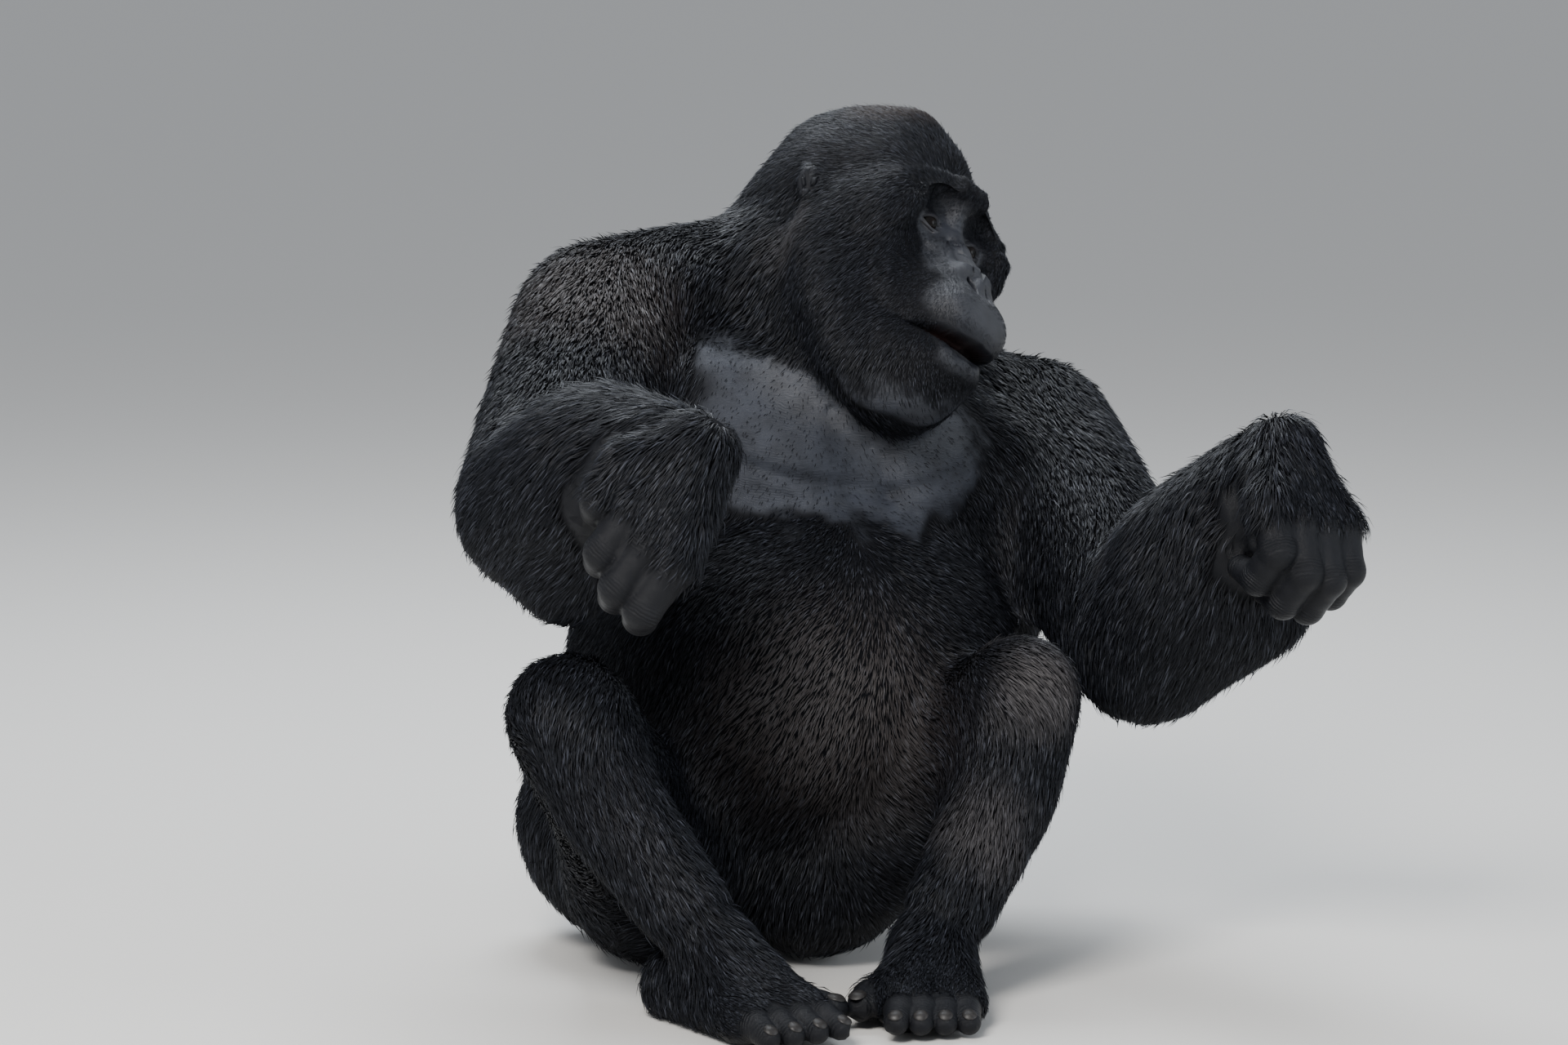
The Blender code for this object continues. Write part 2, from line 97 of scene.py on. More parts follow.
def join(first: Array, second: Array, soft: float) -> Array:
    """Smooth minimum: the lesser distance, rounded by a parabola where they are close.

    Args:
        first: distances to one form.
        second: distances to another form.
        soft: width of the rounding in metres.
    Returns:
        Distances to the two forms melted together.
    """
    near = np.maximum(soft - np.abs(first - second), 0.0)
    return np.minimum(first, second) - near * near / (4.0 * soft)


def cut(first: Array, second: Array, soft: float) -> Array:
    """Smooth carving: the first form with the second taken away."""
    return -join(-first, second, soft)


def mirrored(points: Array) -> Array:
    """Points folded onto the left half of their frame."""
    half = points.copy()
    half[:, 0] = np.abs(half[:, 0])
    return half


def ball_distance(points: Array, centre: Sequence[float], radii: Sequence[float]) -> Array:
    """Signed distance to an ellipsoid, |p/r| (|p/r| - 1) / |p/r^2|.

    Args:
        points: rows of points.
        centre: middle of the ellipsoid.
        radii: its three half widths.
    Returns:
        Distances, below zero inside.
    """
    offset = points - np.asarray(centre)
    radii = np.asarray(radii)
    scaled = np.linalg.norm(offset / radii, axis=1)
    steep = np.linalg.norm(offset / radii**2, axis=1)
    return scaled * (scaled - 1.0) / np.maximum(steep, 1e-9)


def limb_distance(points: Array, start: Sequence[float], end: Sequence[float],
                  radius: float, end_radius: float | None = None) -> Array:
    """Signed distance to a rounded rod whose radius changes evenly along it.

    Args:
        points: rows of points.
        start: centre of the first end.
        end: centre of the other end.
        radius: radius at the start.
        end_radius: radius at the end, or None for the same.
    Returns:
        Distances, below zero inside.
    """
    start, end = np.asarray(start, float), np.asarray(end, float)
    axis = end - start
    along = np.clip((points - start) @ axis / max(axis @ axis, 1e-12), 0.0, 1.0)
    middle = start + along[:, None] * axis
    last = radius if end_radius is None else end_radius
    return np.linalg.norm(points - middle, axis=1) - (radius + (last - radius) * along)


def line_distance(points: Array, line: Sequence[Sequence[float]]) -> Array:
    """Distance to a broken line: the least distance to any of its lengths."""
    parts = [limb_distance(points, line[k], line[k + 1], 0.0) for k in range(len(line) - 1)]
    return np.minimum.reduce(parts)


def ripple(points: Array, size: float, seed: int) -> Array:
    """Soft noise from -1 to 1: the mean of six sine waves in seeded directions.

    Args:
        points: rows of points.
        size: length of a wave in metres.
        seed: which waves.
    Returns:
        One number for each point.
    """
    dice = np.random.default_rng(seed)
    waves = unit(dice.normal(size=(6, 3))) * (2.0 * math.pi / size)
    shift = dice.uniform(0.0, 2.0 * math.pi, 6)
    return np.sin(points @ waves.T + shift).mean(axis=1) * 1.6


def swirl(points: Array, size: float, seed: int) -> Array:
    """Soft noise with a direction: one ripple for each axis, from three seeds in a row."""
    return np.stack([ripple(points, size, seed + k) for k in range(3)], axis=1)


@dataclass(frozen=True)
class Axes:
    """A local frame: its origin and its left, up and front directions as rows."""

    origin: Array
    rows: Array

    @staticmethod
    def looking(origin: Array, left: Array, up: Array) -> "Axes":
        """Frame from its left and roughly its up direction; front is left x up."""
        left = unit(np.asarray(left, float))
        front = unit(np.cross(left, np.asarray(up, float)))
        return Axes(np.asarray(origin, float), np.array([left, np.cross(front, left), front]))

    def into(self, points: Array) -> Array:
        """Points of the world in this frame."""
        return (points - self.origin) @ self.rows.T

    def out(self, points: Array) -> Array:
        """Points of this frame in the world."""
        return np.asarray(points) @ self.rows + self.origin

    def turn(self, vectors: Array) -> Array:
        """Directions of this frame in the world."""
        return np.asarray(vectors) @ self.rows


class Side(Enum):
    """Which half of the body something belongs to."""

    LEFT = 1
    RIGHT = -1


# --- how the animal sits --------------------------------------------------------------
def middle_of(node: str) -> Array:
    """Centre of a solid's box."""
    low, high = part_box(node)
    return (np.array(low) + np.array(high)) / 2.0


@dataclass(frozen=True)
class Limb:
    """Joints of one arm or leg and the directions of its hand or foot."""

    root: Array
    bend: Array
    end: Array
    reach: Array
    row: Array
    palm: Array
    spread: float = 0.0
    fold: float = 0.0


@dataclass(frozen=True)
class Stance:
    """Places of head, arms and legs, read from the solids where they show them."""

    place: Array = field(default_factory=lambda: np.array([-0.0143, 0.1748, 0.0]))
    eye_back: float = 0.0155
    eye_drop: float = 0.0040
    head_up: tuple[float, float, float] = (0.396, 0.345, 0.851)

    def head(self) -> Axes:
        """Frame of the head, at eye level between the eyes."""
        left, right = middle_of("eye_left"), middle_of("eye_right")
        axes = Axes.looking((left + right) / 2.0, left - right, np.array(self.head_up))
        return Axes(axes.out(np.array([0.0, self.eye_drop, self.eye_back])), axes.rows)

    def arm(self, side: Side) -> Limb:
        """Shoulder, elbow, wrist and the hand's directions."""
        if side is Side.RIGHT:
            joints = (-0.204, 0.077, 0.734), (-0.386, -0.250, 0.565), (-0.304, -0.560, 0.664)
            hand = (-0.630, 0.010, -0.777), (-0.440, 0.380, 0.820), (0.320, 0.910, -0.250)
            spread, fold = 0.115, 0.75
        else:
            joints = (0.341, 0.059, 0.576), (0.352, -0.276, 0.375), (0.428, -0.484, 0.624)
            hand = (0.030, -0.620, -0.785), (0.880, -0.010, -0.474), (-0.310, 0.740, -0.600)
            spread, fold = 0.105, 0.60
        spots = [np.array(joint) + self.place for joint in joints]
        return Limb(*spots, *[unit(np.array(way)) for way in hand], spread, fold)

    def leg(self, side: Side) -> Limb:
        """Hip, knee, ankle; the foot's reach is its heading and its row points inward."""
        if side is Side.RIGHT:
            joints = (-0.205, -0.130, 0.118), (-0.380, -0.335, 0.345), (-0.240, -0.430, 0.085)
            heading = unit(np.array([0.350, -0.937, 0.0]))
        else:
            joints = (-0.015, -0.150, 0.118), (0.156, -0.362, 0.340), (0.020, -0.434, 0.066)
            heading = unit(np.array([-0.400, -0.917, 0.0]))
        spots = [np.array(joint) + self.place for joint in joints]
        inward = np.cross(DOWN, heading) * side.value
        return Limb(*spots, heading, inward, DOWN)


# --- forms that the skin is fitted to ---------------------------------------------------
def joints_from(base: Array, ways: Sequence[Array], sizes: Sequence[float]) -> Array:
    """Joints of a digit: from its base one length after another, each along its own way."""
    spots = [base]
    for way, size in zip(ways, sizes):
        spots.append(spots[-1] + unit(way) * size)
    return np.array(spots)


class Digit:
    """A finger or toe: joints from the knuckle out and a radius at each."""

    def __init__(self, spots: Array, radii: Sequence[float], back: Array) -> None:
        """Keep joints, radii and the direction of the nail's side.

        Args:
            spots: rows of joints.
            radii: one radius for each joint.
            back: direction out of the back of the digit at its tip.
        """
        self.spots, self.radii, self.back = spots, radii, back

    def distance(self, points: Array) -> Array:
        """Distance to the digit: its lengths melted together, fuller at the joints."""
        total = np.full(len(points), 1.0)
        for k in range(len(self.radii) - 1):
            waist = (self.radii[k] + self.radii[k + 1]) * 0.475
            middle = (self.spots[k] + self.spots[k + 1]) / 2.0
            total = join(total, limb_distance(points, self.spots[k], middle, self.radii[k], waist), 0.003)
            total = join(total, limb_distance(points, middle, self.spots[k + 1], waist,
                                              self.radii[k + 1]), 0.003)
        return total


@dataclass
class HandForm:
    """A loosely closed hand: palm, four fingers and a thumb."""

    limb: Limb
    palm_length: float = 0.100
    wrist_radius: float = 0.037
    finger_radii: tuple[float, ...] = (0.0235, 0.0215, 0.0195, 0.0150)
    lengths: tuple[tuple[float, ...], ...] = (
        (0.058, 0.044, 0.034), (0.062, 0.048, 0.036), (0.060, 0.045, 0.035), (0.050, 0.036, 0.030))

    def __post_init__(self) -> None:
        """Work out the digits from the wrist, as the solids do."""
        hand = self.limb
        middle = hand.end + hand.reach * self.palm_length
        self.knuckles = [middle + hand.row * hand.spread * (k / 3.0 - 0.5)
                         - hand.reach * 0.006 * (k - 1) ** 2 for k in range(4)]
        ways = [hand.reach + hand.palm * 0.20, hand.palm + hand.reach * (0.85 - hand.fold),
                hand.palm * 0.45 - hand.reach * hand.fold]
        self.digits = [self._digit(base, ways, sizes, self.finger_radii)
                       for base, sizes in zip(self.knuckles, self.lengths)]
        base = hand.end - hand.row * 0.040 + hand.reach * 0.045 + hand.palm * 0.012
        thumb = [hand.reach * 0.9 - hand.row * 0.25 + hand.palm * 0.15, hand.reach + hand.palm * 0.35]
        self.digits.append(self._digit(base, thumb, (0.050, 0.032), (0.022, 0.0195, 0.0145)))

    def _digit(self, base: Array, ways: Sequence[Array], sizes: Sequence[float],
               radii: Sequence[float]) -> Digit:
        """One digit bent from joint to joint; its nail faces away from the palm."""
        last = unit(ways[-1])
        before = unit(ways[-2])
        back = unit(before - last * (before @ last))
        if len(sizes) == 2:
            back = unit(-self.limb.palm + last * (self.limb.palm @ last))
        return Digit(joints_from(base, ways, sizes), radii, back)

    def distance(self, points: Array) -> Array:
        """Distance to the whole hand: digits kept apart by grooves, palm melted on."""
        total = np.full(len(points), 1.0)
        for digit in self.digits:
            total = join(total, digit.distance(points), 0.0015)
        hand = self.limb
        for spot in (*self.knuckles, self.digits[4].spots[0]):
            palm = limb_distance(points, hand.end + hand.palm * 0.004, spot, self.wrist_radius, 0.0235)
            total = join(total, palm, 0.010)
        return total


@dataclass
class FootForm:
    """A foot flat on the floor: sole, four toes and a big toe set apart."""

    limb: Limb

    def __post_init__(self) -> None:
        """Work out heel, ball and toes from the ankle, as the solids do."""
        foot, up = self.limb, -DOWN
        flat = foot.end * np.array([1.0, 1.0, 0.0])
        self.heel = flat - foot.reach * 0.055 + up * 0.036
        self.ball_in = flat + foot.reach * 0.115 + foot.row * 0.026 + up * 0.030
        self.ball_out = flat + foot.reach * 0.095 - foot.row * 0.036 + up * 0.026
        self.digits = []
        for k in range(4):
            base = mix(self.ball_in, self.ball_out, k / 3.0) - up * 0.004
            aim = foot.reach + foot.row * (0.10 - 0.10 * k)
            ways = [aim + up * 0.10, aim - up * 0.30]
            self.digits.append(self._toe(base, ways, (0.040 - 0.003 * k, 0.026), (0.020, 0.0175, 0.0140)))
        big = flat + foot.reach * 0.040 + foot.row * 0.034 + up * 0.028
        ways = [foot.reach + foot.row * 0.75, foot.reach + foot.row * 0.35 - up * 0.06]
        self.digits.append(self._toe(big, ways, (0.052, 0.036), (0.026, 0.0215, 0.0175)))

    def _toe(self, base: Array, ways: Sequence[Array], sizes: Sequence[float],
             radii: Sequence[float]) -> Digit:
        """One toe; its nail faces up."""
        last = unit(ways[-1])
        return Digit(joints_from(base, ways, sizes), radii, unit(-DOWN - last * last[2]))

    def distance(self, points: Array) -> Array:
        """Distance to the whole foot."""
        total = np.full(len(points), 1.0)
        for digit in self.digits:
            total = join(total, digit.distance(points), 0.0015)
        for spot, radius in ((self.ball_in, 0.030), (self.ball_out, 0.026)):
            total = join(total, limb_distance(points, self.heel, spot, 0.040, radius), 0.015)
            total = join(total, limb_distance(points, self.limb.end, spot, 0.044, radius - 0.004), 0.015)
        total = join(total, limb_distance(points, self.heel, self.digits[4].spots[0], 0.038, 0.026), 0.012)
        return total


@dataclass
class FaceForm:
    """Brow, lids, nose, muzzle, lips and folds in the head's frame, left half mirrored."""

    eye_radius: float = 0.0135
    eye_centre: tuple[float, float, float] = (0.0385, -0.0040, -0.0155)
    lid_thickness: float = 0.0026
    lid_half_width: float = 1.10
    lid_upper: float = 0.47
    lid_lower: float = 0.52
    mouth_depth: float = 0.022
    corner: tuple[float, float] = (-0.1430, 0.0140)
    lips: tuple[float, float] = (-0.1590, 0.0850)
    gape: float = 0.0092
    nostril: tuple[float, float, float] = (0.0140, -0.0790, 0.0610)
    nostril_way: tuple[float, float, float] = (0.35, -0.05, 0.93)
    nostril_slant: tuple[float, float, float] = (0.34, 0.79, -0.51)
    nostril_length: float = 0.0125
    nostril_width: float = 0.0052
    nostril_depth: float = 0.011
    lid_zone: tuple[float, float, float] = (0.021, 0.019, 0.027)

    @staticmethod
    def chain(half: Array, spots: Sequence[Sequence[float]], soft: float) -> Array:
        """Distance to rods melted end to end; each spot is a place and a radius."""
        total = limb_distance(half, spots[0][:3], spots[0][:3], spots[0][3])
        for first, second in zip(spots, spots[1:]):
            total = join(total, limb_distance(half, first[:3], second[:3], first[3], second[3]), soft)
        return total

    def forms(self, half: Array) -> Array:
        """Distance to the swelling forms of the face."""
        muzzle = self.chain(half, [(0, -0.092, 0.024, 0.033), (0.024, -0.094, 0.018, 0.033),
                                   (0.043, -0.084, -0.020, 0.034)], 0.014)
        lip = self.chain(half, [(0, -0.124, 0.047, 0.036), (0.024, -0.121, 0.044, 0.036),
                                (0.043, -0.114, -0.008, 0.036)], 0.014)
        rim = self.chain(half, [(0, -0.146, 0.074, 0.0090), (0.026, -0.143, 0.066, 0.0090),
                                (0.046, -0.138, 0.040, 0.0080), (0.054, -0.138, 0.014, 0.0065)], 0.005)
        chin = self.chain(half, [(0, -0.191, 0.034, 0.0300), (0.024, -0.188, 0.030, 0.0300),
                                 (0.052, -0.168, -0.030, 0.042)], 0.014)
        lower = self.chain(half, [(0, -0.180, 0.063, 0.0105), (0.024, -0.175, 0.057, 0.0105),
                                  (0.044, -0.159, 0.034, 0.0090), (0.054, -0.149, 0.012, 0.0070)], 0.005)
        brow = self.chain(half, [(0, 0.047, 0.002, 0.0140), (0.036, 0.050, 0.004, 0.0155),
                                 (0.066, 0.042, 0.004, 0.0200), (0.086, 0.022, -0.008, 0.0240),
                                 (0.092, -0.010, -0.021, 0.0265)], 0.014)
        cheek = self.chain(half, [(0.034, -0.036, -0.024, 0.0190), (0.058, -0.034, -0.036, 0.0230),
                                  (0.068, -0.042, -0.046, 0.0300), (0.052, -0.090, -0.030, 0.038)], 0.016)
        core = ball_distance(half, (0, -0.050, -0.050), (0.078, 0.130, 0.050))
        side = self.chain(half, [(0.010, -0.014, -0.014, 0.0145), (0.018, -0.040, -0.001, 0.0185),
                                 (0.022, -0.066, 0.016, 0.0240)], 0.012)
        total = join(join(muzzle, lip, 0.020), join(join(side, core, 0.010), cheek, 0.020), 0.018)
        total = join(total, rim, 0.008)
        total = join(total, join(chin, lower, 0.008), 0.006)
        return join(total, brow, 0.010)

    def nose(self, half: Array) -> Array:
        """Distance to bridge, tip and the padded wings round the nostrils."""
        bridge = self.chain(half, [(0, 0.040, -0.002, 0.0100), (0, 0.012, -0.007, 0.0095),
                                   (0, -0.010, -0.001, 0.0100), (0, -0.030, 0.014, 0.0115),
                                   (0, -0.054, 0.036, 0.0125)], 0.010)
        tip = join(ball_distance(half, (0, -0.074, 0.053), (0.0082, 0.0130, 0.0115)),
                   ball_distance(half, (0, -0.090, 0.050), (0.0060, 0.0080, 0.0080)), 0.004)
        wing = self.chain(half, [(0.005, -0.056, 0.047, 0.0075), (0.019, -0.060, 0.045, 0.0088),
                                 (0.0285, -0.073, 0.039, 0.0105), (0.0260, -0.088, 0.042, 0.0085)], 0.006)
        return join(join(bridge, tip, 0.006), wing, 0.004)

    def lid_angles(self, half: Array) -> tuple[Array, Array, Array]:
        """Sideways and upward angle and distance of points seen from the eye's centre."""
        offset = half - np.array(self.eye_centre)
        reach = np.linalg.norm(offset, axis=1)
        safe = np.maximum(reach, 1e-6)
        across = np.arctan2(offset[:, 0], offset[:, 2])
        upward = np.arcsin(np.clip(offset[:, 1] / safe, -1.0, 1.0))
        return across - 0.04, upward - 0.06 * across, reach

    def distance(self, points: Array, base: Array, detail: int) -> Array:
        """Distance to the face before its openings are pressed in.

        Args:
            points: rows of points in the head's frame.
            base: their distances to the plain head.
            detail: 0 for the great forms, 1 with sockets, nose and lids, 2 with the folds.
        Returns:
            Distances, below zero inside.
        """
        half = mirrored(points)
        middle = ball_distance(half, (0, -0.070, 0.030), (0.062, 0.125, 0.090))
        total = join(base + 0.002 + 0.012 * (1.0 - ramp(-0.020, 0.0, middle)), self.forms(half), 0.010)
        total = cut(total, ball_distance(half, (0.0400, 0.022, 0.008), (0.0285, 0.0215, 0.0220)), 0.010)
        if detail == 0:
            return total
        total = join(total, self.nose(half), 0.008)
        lid = ball_distance(half, self.eye_centre, (self.eye_radius + self.lid_thickness,) * 3)
        total = join(total, lid, 0.0050)
        return total + self.folds(half) if detail == 2 else total

    def lid_edge(self, half: Array) -> Array:
        """Distance to the almond outline between the lids, below zero in the opening."""
        across, upward, _ = self.lid_angles(half)
        bow = 1.0 - (across / self.lid_half_width) ** 2
        return np.maximum(upward - self.lid_upper * bow, -self.lid_lower * bow - upward) * self.eye_radius

    def press(self, points: Array, openings: bool) -> Array:
        """Push the eyes' openings, the parted lips and the nostrils into the face.

        Args:
            points: rows of points of the skin in the head's frame.
            openings: whether the lids are opened too, or only mouth and nostrils.
        Returns:
            Rows of moved points.
        """
        half = mirrored(points)
        sign = np.where(points[:, :1] < 0.0, -1.0, 1.0)
        if openings:
            centre = np.array(self.eye_centre)
            reach = np.linalg.norm(half - centre, axis=1)
            near = (reach < 0.0205) & (half[:, 2] > centre[2] - 0.002)
            edge = self.lid_edge(half)
            tiny = 0.0003
            slope = unit(np.stack([self.lid_edge(half + shift) - edge for shift in np.eye(3) * tiny], axis=1))
            snap = near & (np.abs(edge) < 0.00040)
            half = half - slope * (edge * snap)[:, None]
            share = (1.0 - ramp(-0.0011, -0.0001, self.lid_edge(half))) * near
            goal = (self.eye_radius - 0.0045) / np.maximum(reach, 1e-6)
            half = centre + (half - centre) * mix(1.0, np.minimum(goal, 1.0), share)[:, None]
            return half * np.hstack([sign, np.ones((len(half), 2))])
        inward = -unit(half * np.array([1.0, 0.0, 1.0]))
        front = ramp(-0.004, 0.004, half[:, 2] - self.corner[1]) * (half[:, 2] > 0.0)
        share = (1.0 - ramp(-0.0045, 0.0005, self.gap(half))) * front
        half = half + inward * (share * self.mouth_depth)[:, None]
        way = unit(np.array(self.nostril_way))
        along = unit(np.array(self.nostril_slant))
        along = unit(along - way * (along @ way))
        offset = half - np.array(self.nostril)
        spread = np.hypot(offset @ along / self.nostril_length,
                          offset @ np.cross(way, along) / self.nostril_width)
        close = np.abs(offset @ way) < 0.016
        half = half - way * ((1.0 - ramp(0.40, 1.0, spread)) * close * self.nostril_depth)[:, None]
        return half * np.hstack([sign, np.ones((len(half), 2))])

    def gap(self, half: Array) -> Array:
        """Distance above or below the parted lips' gap, a wedge that widens toward the front."""
        span = (half[:, 2] - self.corner[1]) / (self.lips[1] - self.corner[1])
        opening = 0.0006 + self.gape * np.clip(span, 0.0, 1.0) ** 0.65
        return np.abs(half[:, 1] - mix(self.corner[0], self.lips[0], span)) - opening

    def folds(self, half: Array) -> Array:
        """Height taken off (above zero) or put on (below zero) by creases and folds."""
        creases = (
            (((0.016, -0.018, 0.004), (0.027, -0.040, 0.018), (0.035, -0.062, 0.032), (0.038, -0.088, 0.038)),
             0.0045, 0.0020),
            (((0.008, -0.010, 0.012), (0.010, -0.028, 0.026), (0.012, -0.046, 0.046)), 0.0022, -0.0011),
            (((0.034, -0.090, 0.042), (0.050, -0.112, 0.030), (0.062, -0.140, 0.010)), 0.0060, 0.0020),
            (((0.018, -0.019, 0.002), (0.038, -0.029, -0.002), (0.058, -0.018, -0.014)), 0.0026, 0.0018),
            (((0.020, -0.027, 0.008), (0.036, -0.040, 0.002), (0.064, -0.030, -0.012)), 0.0032, 0.0014),
            (((0.000, 0.018, 0.004), (0.013, 0.020, 0.000)), 0.0018, 0.0012),
            (((0.000, 0.010, 0.006), (0.014, 0.011, 0.000)), 0.0018, 0.0013),
            (((0.000, 0.001, 0.010), (0.014, 0.003, 0.003)), 0.0018, 0.0011),
            (((0.000, -0.027, 0.026), (0.014, -0.022, 0.016)), 0.0018, 0.0011),
            (((0.000, -0.036, 0.034), (0.016, -0.031, 0.024)), 0.0018, 0.0010),
            (((0.000, -0.092, 0.066), (0.000, -0.140, 0.084)), 0.0035, 0.0012),
            (((0.000, -0.198, 0.062), (0.034, -0.190, 0.050), (0.060, -0.168, 0.010)), 0.0060, 0.0024),
            (((0.006, 0.062, 0.014), (0.012, 0.036, 0.012)), 0.0045, 0.0020))
        total = np.zeros(len(half))
        for line, width, depth in creases:
            total += depth * np.exp(-(line_distance(half, line) / width) ** 2)
        across, upward, reach = self.lid_angles(half)
        near = np.exp(-((reach - self.eye_radius - self.lid_thickness) / 0.004) ** 2)
        for height, depth in ((0.92, 0.0024), (1.20, 0.0012), (-0.80, 0.0016), (-1.08, 0.0012)):
            arc = (upward - height * (1.0 - 0.35 * across**2)) * self.eye_radius
            total += depth * near * np.exp(-(arc / 0.0016) ** 2)
        return total


@dataclass
class EarForm:
    """A small round ear: a rolled rim round a thin hollow plate."""

    BLOB: ClassVar[tuple[float, float, float]] = (0.0200, 0.0255, 0.0110)

    head: Axes
    side: Side

    def __post_init__(self) -> None:
        """Seat the ear on the side of the head, as the solids do."""
        sign = self.side.value
        self.seat = Axes.looking(self.head.out(np.array([sign * 0.122, 0.022, -0.140])),
                                 self.head.turn(np.array([sign * 0.35, 0.0, -0.94])),
                                 self.head.turn(np.array([0.0, 1.0, 0.10])))

    def blob(self, points: Array) -> Array:
        """Distance to the plain ball of clay that the ear is shaped from."""
        return ball_distance(self.seat.into(points), (0.0, 0.0, 0.0), self.BLOB)

    def distance(self, points: Array) -> Array:
        """Distance to the ear: rolled rim, inner ridge, lobe and front flap on a hollow plate."""
        spots = self.seat.into(points) * np.array([1.0, 1.0, self.side.value])
        turns = np.radians(np.linspace(-80.0, 165.0, 14))
        rim = [(0.0135 * math.sin(turn), 0.0190 * math.cos(turn) + 0.003, 0.0030) for turn in turns]
        total = line_distance(spots, rim) - 0.0036
        plate = ball_distance(spots, (0.0, 0.001, -0.0045), (0.0150, 0.0205, 0.0038))
        fold = [(0.003, 0.012, 0.0), (0.006, 0.002, 0.001), (0.002, -0.008, 0.0)]
        ridge = line_distance(spots, fold) - 0.0022
        lobe = ball_distance(spots, (-0.001, -0.0185, -0.001), (0.0065, 0.0060, 0.0045))
        flap = ball_distance(spots, (-0.0100, -0.004, 0.0010), (0.0040, 0.0060, 0.0045))
        total = join(join(total, plate, 0.002), join(ridge, lobe, 0.002), 0.002)
        return join(total, flap, 0.003)


# --- meshes -----------------------------------------------------------------------------
def new_mesh_object(name: str, points: Array, faces: Sequence) -> bpy.types.Object:
    """A mesh object at the origin with smooth shading.

    Args:
        name: object and mesh name.
        points: rows of vertices.
        faces: lists of vertex numbers.
    Returns:
        The object, linked to the scene.
    """
    mesh = bpy.data.meshes.new(name)
    mesh.from_pydata(points.tolist(), [], faces)
    mesh.shade_smooth()
    item = bpy.data.objects.new(name, mesh)
    bpy.context.scene.collection.objects.link(item)
    return item


def ball_faces(turns: int, rings: int) -> list[tuple[int, ...]]:
    """Faces of a closed ball: a top vertex, rings - 1 rings of vertices and a bottom vertex.

    Args:
        turns: vertices in a ring.
        rings: steps from the top to the bottom.
    Returns:
        Triangles at both ends and four-sided faces between the rings.
    """
    after = [(k + 1) % turns for k in range(turns)]
    faces = [(0, 1 + k, 1 + after[k]) for k in range(turns)]
    for base in range(1, 1 + (rings - 2) * turns, turns):
        below = base + turns
        faces += [(base + k, below + k, below + after[k], base + after[k]) for k in range(turns)]
    last = 1 + (rings - 2) * turns
    return faces + [(last + k, last + turns, last + after[k]) for k in range(turns)]


def vertices_of(mesh: bpy.types.Mesh) -> Array:
    """Rows of a mesh's vertices."""
    flat = np.empty(len(mesh.vertices) * 3, np.float32)
    mesh.vertices.foreach_get("co", flat)
    return flat.reshape(-1, 3).astype(float)


def normals_of(mesh: bpy.types.Mesh) -> Array:
    """Rows of a mesh's vertex normals."""
    flat = np.empty(len(mesh.vertices) * 3, np.float32)
    mesh.vertices.foreach_get("normal", flat)
    return flat.reshape(-1, 3).astype(float)


def set_vertices(mesh: bpy.types.Mesh, points: Array) -> None:
    """Put rows of vertices into a mesh."""
    mesh.vertices.foreach_set("co", points.astype(np.float32).ravel())
    mesh.update()


def edges_of(mesh: bpy.types.Mesh) -> Array:
    """Pairs of vertex numbers of a mesh's edges."""
    flat = np.empty(len(mesh.edges) * 2, np.int32)
    mesh.edges.foreach_get("vertices", flat)
    return flat.reshape(-1, 2)


def keep_result(item: bpy.types.Object) -> None:
    """Replace an object's mesh with what its modifiers make of it."""
    graph = bpy.context.evaluated_depsgraph_get()
    mesh = bpy.data.meshes.new_from_object(item.evaluated_get(graph))
    old = item.data
    item.modifiers.clear()
    item.data = mesh
    bpy.data.meshes.remove(old)


def put_value(mesh: bpy.types.Mesh, name: str, values: Array) -> None:
    """Store one number for each vertex under a name that materials can read."""
    layer = mesh.attributes.new(name, "FLOAT", "POINT")
    layer.data.foreach_set("value", np.asarray(values, np.float32))


class Surface:
    """Closest points on a mesh, found for whole arrays by a Shrinkwrap modifier."""

    STEP = 0.01

    def __init__(self, target: bpy.types.Object) -> None:
        """Remember the mesh object that is asked."""
        self.target = target

    def _wrap(self, points: Array, mode: str) -> Array:
        """Points moved by one Shrinkwrap modifier."""
        mesh = bpy.data.meshes.new("probe")
        mesh.vertices.add(len(points))
        set_vertices(mesh, points)
        probe = bpy.data.objects.new("probe", mesh)
        bpy.context.scene.collection.objects.link(probe)
        wrap = probe.modifiers.new("wrap", "SHRINKWRAP")
        wrap.target = self.target
        wrap.wrap_method = "NEAREST_SURFACEPOINT"
        wrap.wrap_mode = mode
        wrap.offset = 0.0 if mode == "ON_SURFACE" else self.STEP
        keep_result(probe)
        moved = vertices_of(probe.data)
        done = probe.data
        bpy.data.objects.remove(probe)
        bpy.data.meshes.remove(done)
        return moved

    def nearest(self, points: Array) -> tuple[Array, Array]:
        """Closest points and the smooth normals there.

        Args:
            points: rows of points.
        Returns:
            Rows of closest points and rows of normals.
        """
        closest = self._wrap(points, "ON_SURFACE")
        above = self._wrap(points, "ABOVE_SURFACE")
        return closest, unit(above - closest)

    @staticmethod
    def signed(points: Array, closest: Array, normals: Array) -> Array:
        """Signed distance from closest points and normals, below zero inside."""
        gap = points - closest
        side = np.where(np.einsum("ij,ij->i", gap, normals) < 0.0, -1.0, 1.0)
        return np.linalg.norm(gap, axis=1) * side


# --- where the coat lies, how long it is, how it is marked and where sheen is painted ------
@dataclass(frozen=True)
class Zone:
    """A length of the body round a bone, with the coat that grows there."""

    name: str
    start: Array
    end: Array
    girth: float
    lie: Array
    length: float
    width: float
    depth: float
    free: float
    onward: Array = field(default_factory=lambda: np.zeros(3))


